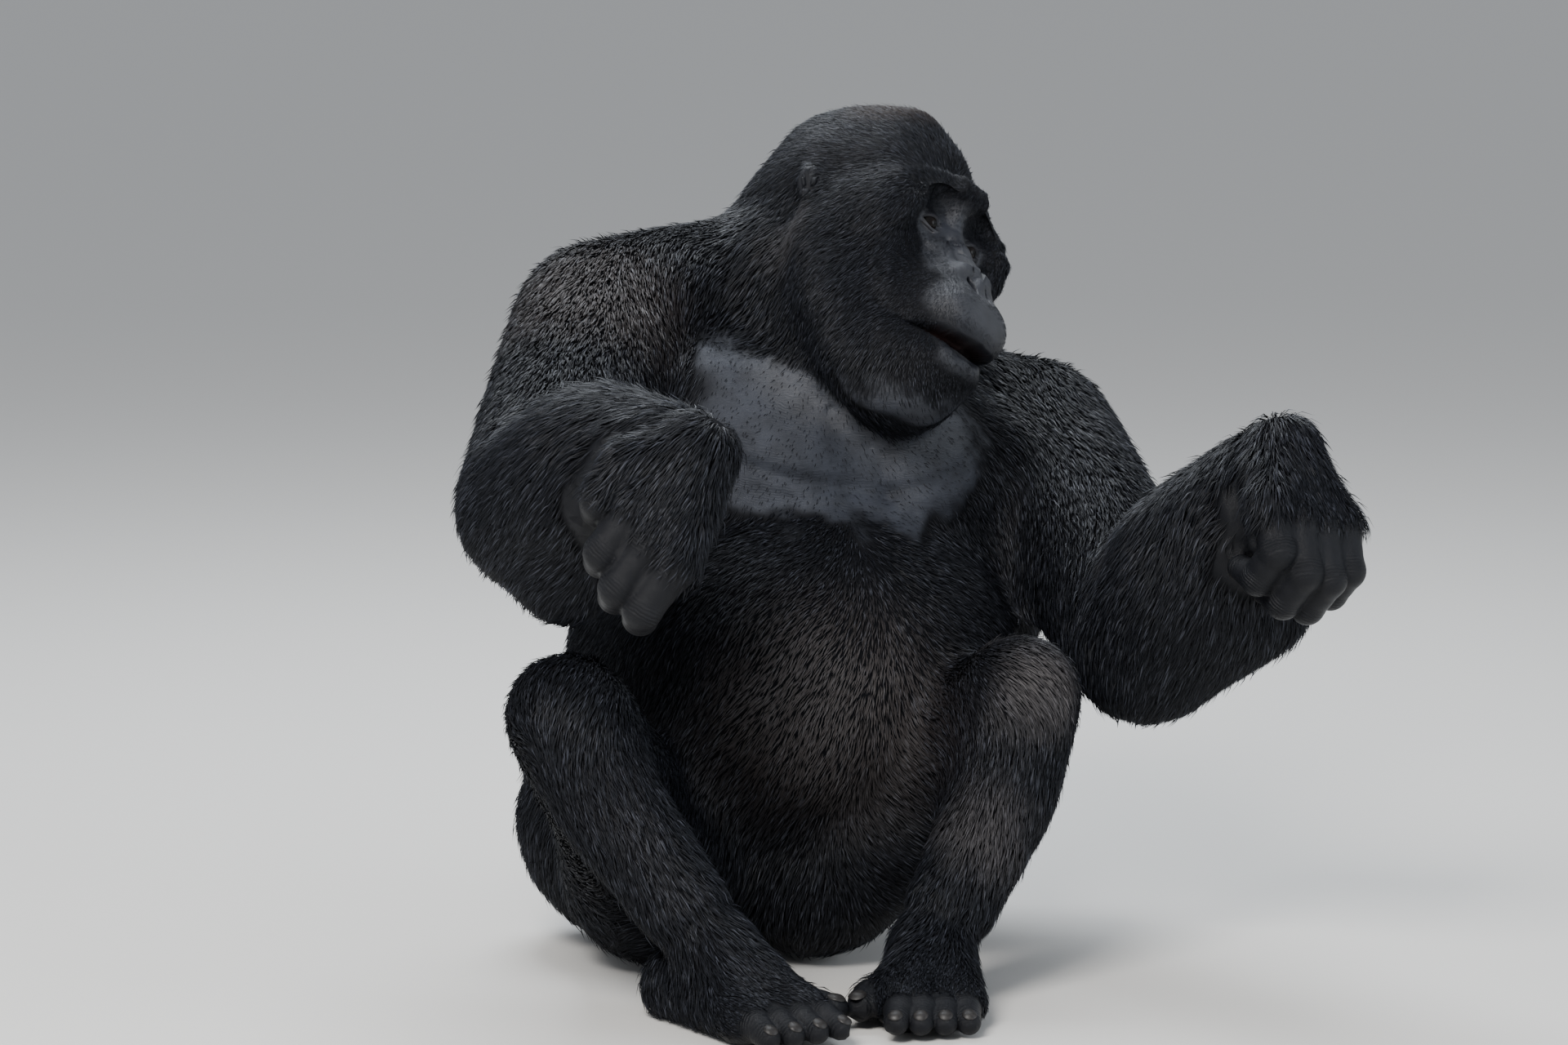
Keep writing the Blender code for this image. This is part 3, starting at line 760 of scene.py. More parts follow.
class CoatMap:
    """Fields over the body: the coat's lie, length, depth and cover, and the markings with patches of painted
    sheen.
    """

    def __init__(self, stance: Stance) -> None:
        """Lay out the zones along the animal's bones."""
        self.head = stance.head()
        head = self.head
        self.zones = [
            Zone("rump", np.array([-0.10, 0.19, 0.14]), np.array([-0.06, 0.14, 0.26]), 0.22,
                 DOWN, 0.026, 0.0019, 0.007, 0.10),
            Zone("belly", np.array([-0.04, 0.11, 0.33]), np.array([0.02, 0.16, 0.46]), 0.24,
                 DOWN, 0.018, 0.0015, 0.0045, 0.05),
            Zone("back", np.array([0.02, 0.26, 0.48]), np.array([0.03, 0.29, 0.70]), 0.18,
                 DOWN, 0.024, 0.0019, 0.007, 0.10),
            Zone("crown", head.out(np.array([0.0, 0.06, -0.16])), head.out(np.array([0.0, -0.10, -0.08])),
                 0.105, -head.rows[2], 0.0145, 0.0010, 0.0048, 0.10)]
        for side in Side:
            name = side.name.lower()
            arm, leg = stance.arm(side), stance.leg(side)
            upper, fore = unit(arm.bend - arm.root), unit(arm.bend - arm.end)
            thigh, shin = unit(leg.bend - leg.root), unit(leg.end - leg.bend)
            self.zones += [
                Zone("upper_arm_" + name, arm.root, mix(arm.root, arm.bend, 0.85), 0.105,
                     upper + DOWN * 0.35, 0.026, 0.0017, 0.008, 0.10),
                Zone("forearm_" + name, arm.bend, mix(arm.bend, arm.end, 0.92), 0.092,
                     fore + DOWN * 0.55, 0.028, 0.0017, 0.009, 0.16, arm.reach),
                Zone("hand_" + name, arm.end, arm.end + arm.reach * 0.10, 0.045,
                     arm.reach + DOWN * 0.15, 0.015, 0.0014, 0.0035, 0.08),
                Zone("thigh_" + name, leg.root, leg.bend, 0.088,
                     thigh + DOWN * 0.9, 0.022, 0.0016, 0.006, 0.07),
                Zone("shin_" + name, mix(leg.bend, leg.end, 0.10), leg.end, 0.066,
                     shin + DOWN * 0.3, 0.024, 0.0016, 0.006, 0.10),
                Zone("foot_" + name, leg.end, leg.end * np.array([1.0, 1.0, 0.3]) + leg.reach * 0.10, 0.040,
                     leg.reach + DOWN * 0.10, 0.012, 0.0013, 0.0025, 0.05)]
        self.names = [zone.name for zone in self.zones]

    def shares(self, points: Array, sharpness: float = 14.0) -> Array:
        """How far each point belongs to each zone: a soft choice of the nearest bone.

        Args:
            points: rows of points.
            sharpness: how quickly one zone gives way to the next.
        Returns:
            One row for each point and one column for each zone, with rows adding to 1.
        """
        near = np.stack([limb_distance(points, zone.start, zone.end, 0.0) / zone.girth
                         for zone in self.zones], axis=1)
        near -= near.min(axis=1, keepdims=True)
        weight = np.exp(-sharpness * near)
        return weight / weight.sum(axis=1, keepdims=True)

    def blend(self, shares: Array, name: str) -> Array:
        """A number of the zones blended by the shares."""
        return shares @ np.array([getattr(zone, name) for zone in self.zones])

    # -- bare places
    def face_margin(self, points: Array) -> Array:
        """Distance outside the bare face, below zero on it."""
        half = mirrored(self.head.into(points))
        eyes = ball_distance(half, (0.0, -0.004, -0.005), (0.060, 0.038, 0.050))
        nose = ball_distance(half, (0.0, -0.062, 0.025), (0.056, 0.058, 0.060))
        lips = ball_distance(half, (0.0, -0.118, 0.058), (0.066, 0.044, 0.072))
        chin = ball_distance(half, (0.0, -0.172, 0.066), (0.040, 0.015, 0.024))
        return join(join(eyes, nose, 0.02), join(lips, chin, 0.02), 0.02) + 0.003 * ripple(points, 0.03, 9)

    def chest_bare(self, points: Array, normals: Array) -> Array:
        """1 on the bare breast, 0 off it: a band between two broken lines on the front."""
        low = np.interp(points[:, 0], (-0.170, -0.120, -0.040, 0.050, 0.090, 0.140, 0.200, 0.230),
                        (0.640, 0.530, 0.526, 0.506, 0.496, 0.515, 0.570, 0.640))
        high = np.interp(points[:, 0], (-0.170, -0.120, -0.050, 0.000, 0.080, 0.200),
                         (0.730, 0.745, 0.715, 0.700, 0.680, 0.650))
        stray = 0.012 * ripple(points, 0.060, 5) + 0.008 * ripple(points, 0.021, 6)
        across, height = points[:, 0], points[:, 2]
        band = ramp(-0.010, 0.022, height - low + stray) * ramp(-0.010, 0.030, high - height + stray)
        band = band * ramp(-0.195, -0.125, across + stray) * ramp(0.0, 0.05, 0.215 - across + stray)
        trunk = self.shares(points)[:, [self.names.index("belly"), self.names.index("back")]].sum(axis=1)
        return band * ramp(0.25, 0.70, trunk) * ramp(0.05, 0.40, normals @ unit(np.array([0.05, -1.0, 0.25])))

    def digit_bare(self, points: Array, hands: Sequence, feet: Sequence) -> Array:
        """1 on fingers, toes, palms and soles, 0 where their fur starts."""
        total = np.zeros(len(points))
        for form in hands:
            near = np.minimum.reduce([line_distance(points, digit.spots) - 0.024 for digit in form.digits])
            lift = (points - form.limb.end) @ form.limb.palm
            palm = ramp(0.004, 0.018, lift) * (1.0 - ramp(0.02, 0.05, form.distance(points)))
            along = (points - form.limb.end) @ form.limb.reach
            total = np.maximum(total, (1.0 - ramp(0.000, 0.010, near)) * ramp(0.075, 0.105, along))
            total = np.maximum(total, palm * ramp(0.0, 0.02, along))
            thumb = line_distance(points, form.digits[4].spots) - 0.022
            total = np.maximum(total, 1.0 - ramp(0.001, 0.008, thumb))
        for form in feet:
            near = np.minimum.reduce([line_distance(points, digit.spots) - 0.020 for digit in form.digits])
            total = np.maximum(total, 1.0 - ramp(0.000, 0.008, near))
            sole = (1.0 - ramp(0.010, 0.022, points[:, 2])) * (1.0 - ramp(0.0, 0.02, form.distance(points)))
            total = np.maximum(total, sole)
        return total

    # -- the coat
    def lie(self, points: Array, normals: Array, shares: Array) -> Array:
        """Direction in which the hair points, along the skin."""
        way = shares @ np.array([zone.lie for zone in self.zones])
        trunk = shares[:, :3].sum(axis=1)[:, None]
        aside = np.zeros_like(points)
        aside[:, 0] = np.tanh((points[:, 0] - 0.01) / 0.06)
        front = ramp(0.0, 0.5, -normals[:, 1])[:, None]
        way = way + aside * trunk * (0.15 + 0.55 * front)
        crown = shares[:, 3][:, None]
        height = self.head.into(points)[:, 1]
        sag = (1.0 - ramp(-0.02, 0.09, height))[:, None]
        way = way - self.head.rows[1] * crown * sag * 1.25
        onward = shares @ np.array([zone.onward for zone in self.zones])
        rising = np.einsum("ij,ij->i", unit(way), normals)[:, None]
        way = way + onward * ramp(0.05, 0.70, -rising) * 2.2
        way = unit(way) + swirl(points, 0.16, 31) * 0.16 + swirl(points, 0.05, 34) * 0.10
        way = way - normals * np.einsum("ij,ij->i", way, normals)[:, None]
        return unit(way)

    def head_growth(self, points: Array) -> Array:
        """Share of the full length that hair has near the face: short at its margin."""
        return mix(0.28, 1.0, ramp(0.0, 0.060, self.face_margin(points)))

    def silver_and_sheen(self, points: Array, normals: Array) -> Array:
        """How grey the hair is: the saddle on the back in the hair's own silver, and round patches of painted
        sheen on the front and head, where light falls on the coat.
        """
        aside, height = np.abs(points[:, 0]), points[:, 2]
        saddle = ramp(0.10, 0.75, normals[:, 1]) * ramp(0.10, 0.25, height)
        saddle = saddle * (1.0 - ramp(0.70, 0.84, height)) * (1.0 - ramp(0.20, 0.36, aside))
        # Painted sheen: round patches painted paler grey where light falls on the belly, legs, shoulder and
        # cheek; each is a spot, a reach and a share.
        sheen_patches = (((-0.255, 0.16, 0.790), 0.130, 0.55), ((-0.076, -0.132, 0.346), 0.150, 0.80),
                   ((-0.030, -0.120, 0.250), 0.100, 0.45), ((0.139, -0.244, 0.370), 0.085, 0.85),
                   ((0.075, -0.262, 0.210), 0.085, 0.60), ((-0.150, 0.00, 0.260), 0.110, 0.35),
                   ((0.159, 0.060, 0.614), 0.075, 0.35), ((-0.036, 0.130, 0.853), 0.065, 0.35))
        total = saddle * 0.85
        for spot, reach, share in sheen_patches:
            far = np.linalg.norm(points - np.array(spot), axis=1)
            total = np.maximum(total, share * (1.0 - ramp(0.25 * reach, reach, far)))
        return np.clip(total + 0.12 * ripple(points, 0.07, 8) * (total > 0.02), 0.0, 1.0)

    def brown(self, points: Array) -> Array:
        """How brown the hair is: the crest in the hair's own brown, and a little painted sheen of light on
        the belly and the right shoulder.
        """
        half = self.head.into(points)
        crest = 1.0 - ramp(0.030, 0.085, np.linalg.norm(half - np.array([0.0, 0.16, -0.13]), axis=1))
        # Painted sheen: the belly and the top of the right shoulder are tinted paler brown where light falls
        # on them.
        belly = 1.0 - ramp(0.05, 0.20, np.linalg.norm(points - np.array([-0.07, -0.13, 0.33]), axis=1))
        top = 1.0 - ramp(0.05, 0.16, np.linalg.norm(points - np.array([-0.25, 0.16, 0.79]), axis=1))
        return np.clip(np.maximum(crest, np.maximum(belly, top) * 0.8), 0.0, 1.0)


# --- the skin -----------------------------------------------------------------------------
class Skin:
    """One closed skin over every solid of flesh, fitted to face, ears, hands and feet."""

    GRAIN = 0.0116
    SWELL = 0.0006
    FLESH = ("belly", "chest", "neck", "head", "ear_left", "ear_right", "upper_arm_left", "upper_arm_right",
             "forearm_left", "forearm_right", "hand_left", "hand_right", "thigh_left", "thigh_right",
             "shin_left", "shin_right", "foot_left", "foot_right")

    def __init__(self, stance: Stance, coat: CoatMap) -> None:
        """Set up the forms that the skin is fitted to."""
        self.head = stance.head()
        self.coat = coat
        self.face = FaceForm()
        self.ears = [EarForm(self.head, side) for side in Side]
        self.hands = [HandForm(stance.arm(side)) for side in Side]
        self.feet = [FootForm(stance.leg(side)) for side in Side]

    def merged(self) -> bpy.types.Object:
        """Copies of the solids, each merged and swollen a hair's breadth so that they meet."""
        whole = bmesh.new()
        for ear in self.ears:
            blob = np.diag((*ear.BLOB, 1.0))
            blob[:3, :3] = ear.seat.rows.T @ blob[:3, :3]
            blob[:3, 3] = ear.seat.origin
            bmesh.ops.create_uvsphere(whole, u_segments=24, v_segments=16, radius=1.0, matrix=Matrix(blob))
        for name in (*self.FLESH, "eye_left", "eye_right"):
            if name.startswith("ear"):
                continue
            part = bmesh.new()
            part.from_mesh(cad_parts[name].data)
            bmesh.ops.remove_doubles(part, verts=part.verts[:], dist=0.00002)
            mesh = bpy.data.meshes.new("part")
            part.to_mesh(mesh)
            part.free()
            set_vertices(mesh, vertices_of(mesh) + normals_of(mesh) * self.SWELL)
            whole.from_mesh(mesh)
            bpy.data.meshes.remove(mesh)
        mesh = bpy.data.meshes.new("skin")
        whole.to_mesh(mesh)
        whole.free()
        item = bpy.data.objects.new("skin", mesh)
        bpy.context.scene.collection.objects.link(item)
        return item

    def relax(self, points: Array, edges: Array, share: Array, rounds: int) -> Array:
        """Move every vertex part of the way to the mean of its neighbours.

        Args:
            points: rows of vertices.
            edges: pairs of vertex numbers.
            share: how far each vertex goes, from 0 to 1.
            rounds: how many times.
        Returns:
            Rows of moved vertices.
        """
        count = np.bincount(edges.ravel(), minlength=len(points))[:, None]
        for _ in range(rounds):
            total = np.stack([np.bincount(edges[:, 0], points[edges[:, 1], k], len(points))
                              + np.bincount(edges[:, 1], points[edges[:, 0], k], len(points))
                              for k in range(3)], axis=1)
            points = points + (total / np.maximum(count, 1) - points) * share[:, None]
        return points

    def fine_zone(self, points: Array) -> Array:
        """How fine the mesh has to be: how many times the edges are halved."""
        half = mirrored(self.head.into(points))
        eyes = ball_distance(half, self.face.eye_centre, self.face.lid_zone)
        centre = ball_distance(half, (0, -0.080, 0.040), (0.054, 0.118, 0.062))
        level = np.where(ball_distance(half, (0, -0.066, 0.010), (0.090, 0.140, 0.105)) < 0.0, 2.0, 0.0)
        level = np.where(centre < 0.0, 3.0, level)
        level = np.where(eyes < 0.0, 4.0, level)
        for ear in self.ears:
            level = np.maximum(level, np.where(ear.blob(points) < 0.012, 2.0, 0.0))
            level = np.maximum(level, np.where(ear.blob(points) < 0.003, 3.0, 0.0))
        for hand in self.hands:
            level = np.maximum(level, np.where(hand.distance(points) < 0.012, 1.0, 0.0))
            fingers = np.minimum.reduce([line_distance(points, digit.spots[1:]) for digit in hand.digits])
            level = np.maximum(level, np.where(fingers < 0.028, 2.0, 0.0))
        for foot in self.feet:
            toes = np.minimum.reduce([line_distance(points, digit.spots[1:]) for digit in foot.digits])
            level = np.maximum(level, np.where(toes < 0.024, 2.0, 0.0))
        breast = ball_distance(points, (0.03, 0.03, 0.58), (0.22, 0.20, 0.16))
        front = points[:, 1] < 0.16
        return np.maximum(level, np.where((breast < 0.0) & front, 1.0, 0.0))

    def refine(self, item: bpy.types.Object, level: int) -> None:
        """Halve the edges of all faces that lie wholly in a fine zone."""
        shape = bmesh.new()
        shape.from_mesh(item.data)
        shape.verts.ensure_lookup_table()
        wanted = self.fine_zone(vertices_of(item.data)) >= level
        edges = {edge for face in shape.faces if all(wanted[spot.index] for spot in face.verts)
                 for edge in face.edges}
        ordered = sorted(edges, key=lambda edge: edge.index)
        bmesh.ops.subdivide_edges(shape, edges=ordered, cuts=1, use_grid_fill=True)
        shape.to_mesh(item.data)
        shape.free()

    def fit(self, item: bpy.types.Object, inside: Array, surface: "Surface",
            form: Callable[[Array, Array], Array], rounds: int, relaxed: float) -> None:
        """Slide vertices down a distance field until they lie on its zero surface.

        Args:
            item: the skin.
            inside: weight of each vertex, 0 for those that stay.
            surface: the plain body, whose distance the form takes as its second value.
            form: function of places and plain distances that gives distances to the form.
            rounds: how many steps.
            relaxed: share of evening out between the steps.
        """
        points, edges = vertices_of(item.data), edges_of(item.data)
        chosen = np.flatnonzero(inside > 0.001)
        weight = inside[chosen][:, None]
        tiny = 0.0004
        for step in range(rounds):
            spots = points[chosen]
            closest, normals = surface.nearest(spots)
            plain = surface.signed(spots, closest, normals)
            here = form(spots, plain)
            slope = np.stack([(form(spots + shift, plain + normals @ shift) - here) / tiny
                              for shift in np.eye(3) * tiny], axis=1)
            steep = np.maximum(np.einsum("ij,ij->i", slope, slope), 0.25)[:, None]
            points[chosen] = spots - np.clip(here, -0.004, 0.004)[:, None] * slope / steep * weight
            if step < rounds - 2:
                points = self.relax(points, edges, inside * relaxed, 1)
        set_vertices(item.data, points)

    def inset(self, item: bpy.types.Object) -> None:
        """Sink the skin below the tips of the coat by the coat's depth."""
        points = vertices_of(item.data)
        normals = normals_of(item.data)
        edges = edges_of(item.data)
        bare = self.bareness(points, normals)
        depth = self.coat.blend(self.coat.shares(points), "depth") * (1.0 - bare)
        depth = depth * self.coat.head_growth(points) + 0.0005
        points = points - normals * depth[:, None]
        points[:, 2] = np.maximum(points[:, 2], 0.0)
        set_vertices(item.data, self.relax(points, edges, np.full(len(points), 0.5), 2))

    def bareness(self, points: Array, normals: Array) -> Array:
        """1 where the skin is bare, 0 where it is furred."""
        face = 1.0 - ramp(-0.004, 0.008, self.coat.face_margin(points))
        ears = np.minimum.reduce([ear.distance(points) for ear in self.ears])
        bare = np.maximum(face, 1.0 - ramp(0.000, 0.002, ears))
        bare = np.maximum(bare, self.coat.chest_bare(points, normals))
        return np.maximum(bare, self.coat.digit_bare(points, self.hands, self.feet))

    def off_lips(self, points: Array) -> Array:
        """0 on the lips, in the mouth, on the lids and on the nose, 1 away from them."""
        half = mirrored(self.head.into(points))
        nose = ball_distance(half, (0.0, -0.060, 0.045), (0.036, 0.042, 0.040))
        eyes = ball_distance(half, self.face.eye_centre, (0.024, 0.020, 0.027))
        lips = np.where(half[:, 2] > 0.0, self.face.gap(half) - 0.006, 0.02)
        return ramp(-0.002, 0.004, np.minimum.reduce([nose, eyes, lips]))

    def breast_folds(self, points: Array) -> Array:
        """Depth of the folds below and between the breast muscles and across the belly's top."""
        lines = ((((-0.115, 0.05, 0.590), (-0.060, 0.03, 0.572), (0.000, 0.02, 0.560), (0.066, 0.02, 0.549)),
                  0.010, 0.0060),
                 (((0.066, 0.02, 0.549), (0.115, 0.02, 0.560), (0.165, 0.04, 0.575)), 0.010, 0.0055),
                 (((0.066, 0.02, 0.549), (0.060, 0.03, 0.590), (0.045, 0.04, 0.625)), 0.012, 0.0040),
                 (((-0.100, 0.05, 0.560), (-0.030, 0.01, 0.543), (0.050, 0.00, 0.530)), 0.006, 0.0022),
                 (((-0.090, 0.05, 0.545), (-0.030, 0.00, 0.528), (0.070, -0.01, 0.518)), 0.006, 0.0018))
        total = np.zeros(len(points))
        flat = points * np.array([1.0, 0.25, 1.0])
        for line, width, depth in lines:
            level = [(x, y * 0.25, z) for x, y, z in line]
            total += depth * np.exp(-(line_distance(flat, level) / width) ** 2)
        return total

    def build(self) -> bpy.types.Object:
        """Make the skin.

        Returns:
            The finished object with the values that its material reads.
        """
        item = self.merged()
        grain = item.modifiers.new("grain", "REMESH")
        grain.mode = "VOXEL"
        grain.voxel_size = self.GRAIN
        keep_result(item)
        item.data.shade_smooth()
        points, edges = vertices_of(item.data), edges_of(item.data)
        forms = np.minimum.reduce([form.distance(points) for form in (*self.hands, *self.feet)])
        calm = ramp(0.02, 0.05, forms) * 0.5
        set_vertices(item.data, self.relax(points, edges, calm, 5))
        self.inset(item)
        plain = item.copy()
        plain.data = item.data.copy()
        bpy.context.scene.collection.objects.link(plain)
        surface = Surface(plain)
        self._fit_face(item, surface, 0, 6, False)
        self._even(item, 4)
        for level, detail in ((1, 0), (2, 1), (3, 2), (4, 2)):
            self.refine(item, level)
            if level == 2:
                self._fit_limbs(item, surface)
            if level in (2, 3):
                self._fit_ears(item, surface)
            self._fit_face(item, surface, detail, 5, level == 4)
            if level <= 2:
                self._even(item, 3)
            if level >= 3:
                points = vertices_of(item.data)
                head = np.linalg.norm(points - self.head.origin, axis=1) < 0.25
                points[head] = self.head.out(self.face.press(self.head.into(points[head]), level == 4))
                set_vertices(item.data, points)
        item.data.shade_smooth()
        done = plain.data
        bpy.data.objects.remove(plain)
        bpy.data.meshes.remove(done)
        points = vertices_of(item.data)
        front = ramp(0.2, 0.6, -normals_of(item.data)[:, 1])
        points = points - normals_of(item.data) * (self.breast_folds(points) * front)[:, None]
        points[:, 2] = np.maximum(points[:, 2], 0.0)
        set_vertices(item.data, points)
        self._mark(item)
        return item

    def _even(self, item: bpy.types.Object, rounds: int) -> None:
        """Even out the coarse face along the brow."""
        points = vertices_of(item.data)
        half = mirrored(self.head.into(points))
        brow = ball_distance(half, (0.0, 0.056, -0.002), (0.115, 0.034, 0.050))
        share = 0.4 * (1.0 - ramp(-0.012, 0.002, brow))
        set_vertices(item.data, self.relax(points, edges_of(item.data), share, rounds))

    def _fit_limbs(self, item: bpy.types.Object, surface: Surface) -> None:
        """Fit the refined skin to hands and feet in turn."""
        for form, share in [(form, 0.25) for form in self.hands] + [(form, 0.2) for form in self.feet]:
            near = 1.0 - ramp(0.006, 0.018, form.distance(vertices_of(item.data)))

            def digits(spots: Array, plain: Array, form: HandForm = form) -> Array:
                """Distance to a hand or foot melted onto its limb."""
                return join(plain + 0.006, form.distance(spots), 0.006)

            self.fit(item, near, surface, digits, 7, share)

    def _fit_ears(self, item: bpy.types.Object, surface: Surface) -> None:
        """Fit the refined skin to the ears."""
        for ear in self.ears:
            near = 1.0 - ramp(0.002, 0.008, ear.blob(vertices_of(item.data)))

            def rims(spots: Array, plain: Array, ear: EarForm = ear) -> Array:
                """Distance to an ear on the side of the head."""
                sink = 0.0105 * (1.0 - ramp(-0.006, 0.001, ear.blob(spots)))
                return join(plain + sink, ear.distance(spots), 0.002)

            self.fit(item, near, surface, rims, 11, 0.25)

    def _fit_face(self, item: bpy.types.Object, surface: Surface, detail: int, rounds: int,
                  eyes: bool) -> None:
        """Fit the skin to the face, or only to the lids, at one degree of detail."""
        half = mirrored(self.head.into(vertices_of(item.data)))
        near = 1.0 - ramp(-0.016, -0.001, ball_distance(half, (0, -0.056, 0.010), (0.108, 0.156, 0.108)))
        if eyes:
            near = 1.0 - ramp(-0.004, 0.0, ball_distance(half, self.face.eye_centre, self.face.lid_zone))

        def face(spots: Array, plain: Array) -> Array:
            """Distance to the face."""
            return self.face.distance(self.head.into(spots), plain, detail)

        self.fit(item, near, surface, face, rounds, 0.3)

    def _mark(self, item: bpy.types.Object) -> None:
        """Store what the skin's material reads: bare places, breast, painted shade in the eye sockets with
        darker lips and ears, mouth, lids and creases.
        """
        points, normals = vertices_of(item.data), normals_of(item.data)
        half = mirrored(self.head.into(points))
        put_value(item.data, "bare", self.bareness(points, normals))
        put_value(item.data, "chest", self.coat.chest_bare(points, normals))
        outer = self.face.forms(half)
        gap = self.face.gap(half)
        mouth = (1.0 - ramp(-0.001, 0.002, gap)) * (1.0 - ramp(-0.008, -0.002, outer))
        across, upward, reach = self.face.lid_angles(half)
        lids = (1.0 - ramp(0.004, 0.009, np.abs(reach - self.face.eye_radius)))
        lids = lids * (1.0 - ramp(0.75, 1.05, np.abs(upward))) * (1.0 - ramp(0.9, 1.3, np.abs(across)))
        near_head = 1.0 - ramp(0.10, 0.16, np.linalg.norm(half - np.array([0, -0.07, 0.02]), axis=1))
        # Painted shade: the eye sockets under the brow are darkened as if in shadow; the skin toward the
        # lips' gap and the ears is darkened too.
        socket_shade = ball_distance(half, (0.041, 0.020, 0.004), (0.027, 0.023, 0.026))
        lips = 0.7 * (1.0 - ramp(0.001, 0.024, gap)) * (half[:, 2] > 0.0)
        dark = np.maximum(1.0 - ramp(-0.010, 0.006, socket_shade), lips) * near_head
        ears = np.minimum.reduce([ear.blob(points) for ear in self.ears])
        put_value(item.data, "dark", np.maximum(dark, 0.9 * (1.0 - ramp(0.0, 0.004, ears))))
        put_value(item.data, "mouth", mouth * near_head)
        put_value(item.data, "lids", lids * near_head)
        hands = np.minimum.reduce([form.distance(points) for form in (*self.hands, *self.feet)])
        far = ramp(0.20, 0.25, np.linalg.norm(half - np.array([0.0, -0.05, -0.05]), axis=1))
        put_value(item.data, "hand", np.maximum(1.0 - ramp(0.004, 0.012, hands), far))
        along, joint = self._digit_marks(points)
        put_value(item.data, "along", along)
        put_value(item.data, "joint", joint)

    def _digit_marks(self, points: Array) -> tuple[Array, Array]:
        """Length along the nearest digit, and 1 at its joints, where the skin creases across it."""
        best, along, joint = np.full(len(points), 1.0), np.zeros(len(points)), np.zeros(len(points))
        for digit in [digit for form in (*self.hands, *self.feet) for digit in form.digits]:
            start = 0.0
            for first, second, radius in zip(digit.spots, digit.spots[1:], digit.radii):
                size = np.linalg.norm(second - first)
                reach = (points - first) @ (second - first) / size
                gap = limb_distance(points, first, second, radius)
                nearer = gap < best
                best = np.where(nearer, gap, best)
                along = np.where(nearer, start + reach, along)
                bend = np.minimum(np.abs(reach), np.abs(size - reach))
                joint = np.where(nearer, np.exp(-(bend / 0.0095) ** 2), joint)
                start += size
        return along, joint * (1.0 - ramp(0.004, 0.012, best))


# --- the coat -------------------------------------------------------------------------------
@dataclass(frozen=True)
class Patch:
    """A part of the coat: which zones it covers and how many locks it has."""

    name: str
    zones: tuple[str, ...]
    locks: int
    half: int = 0


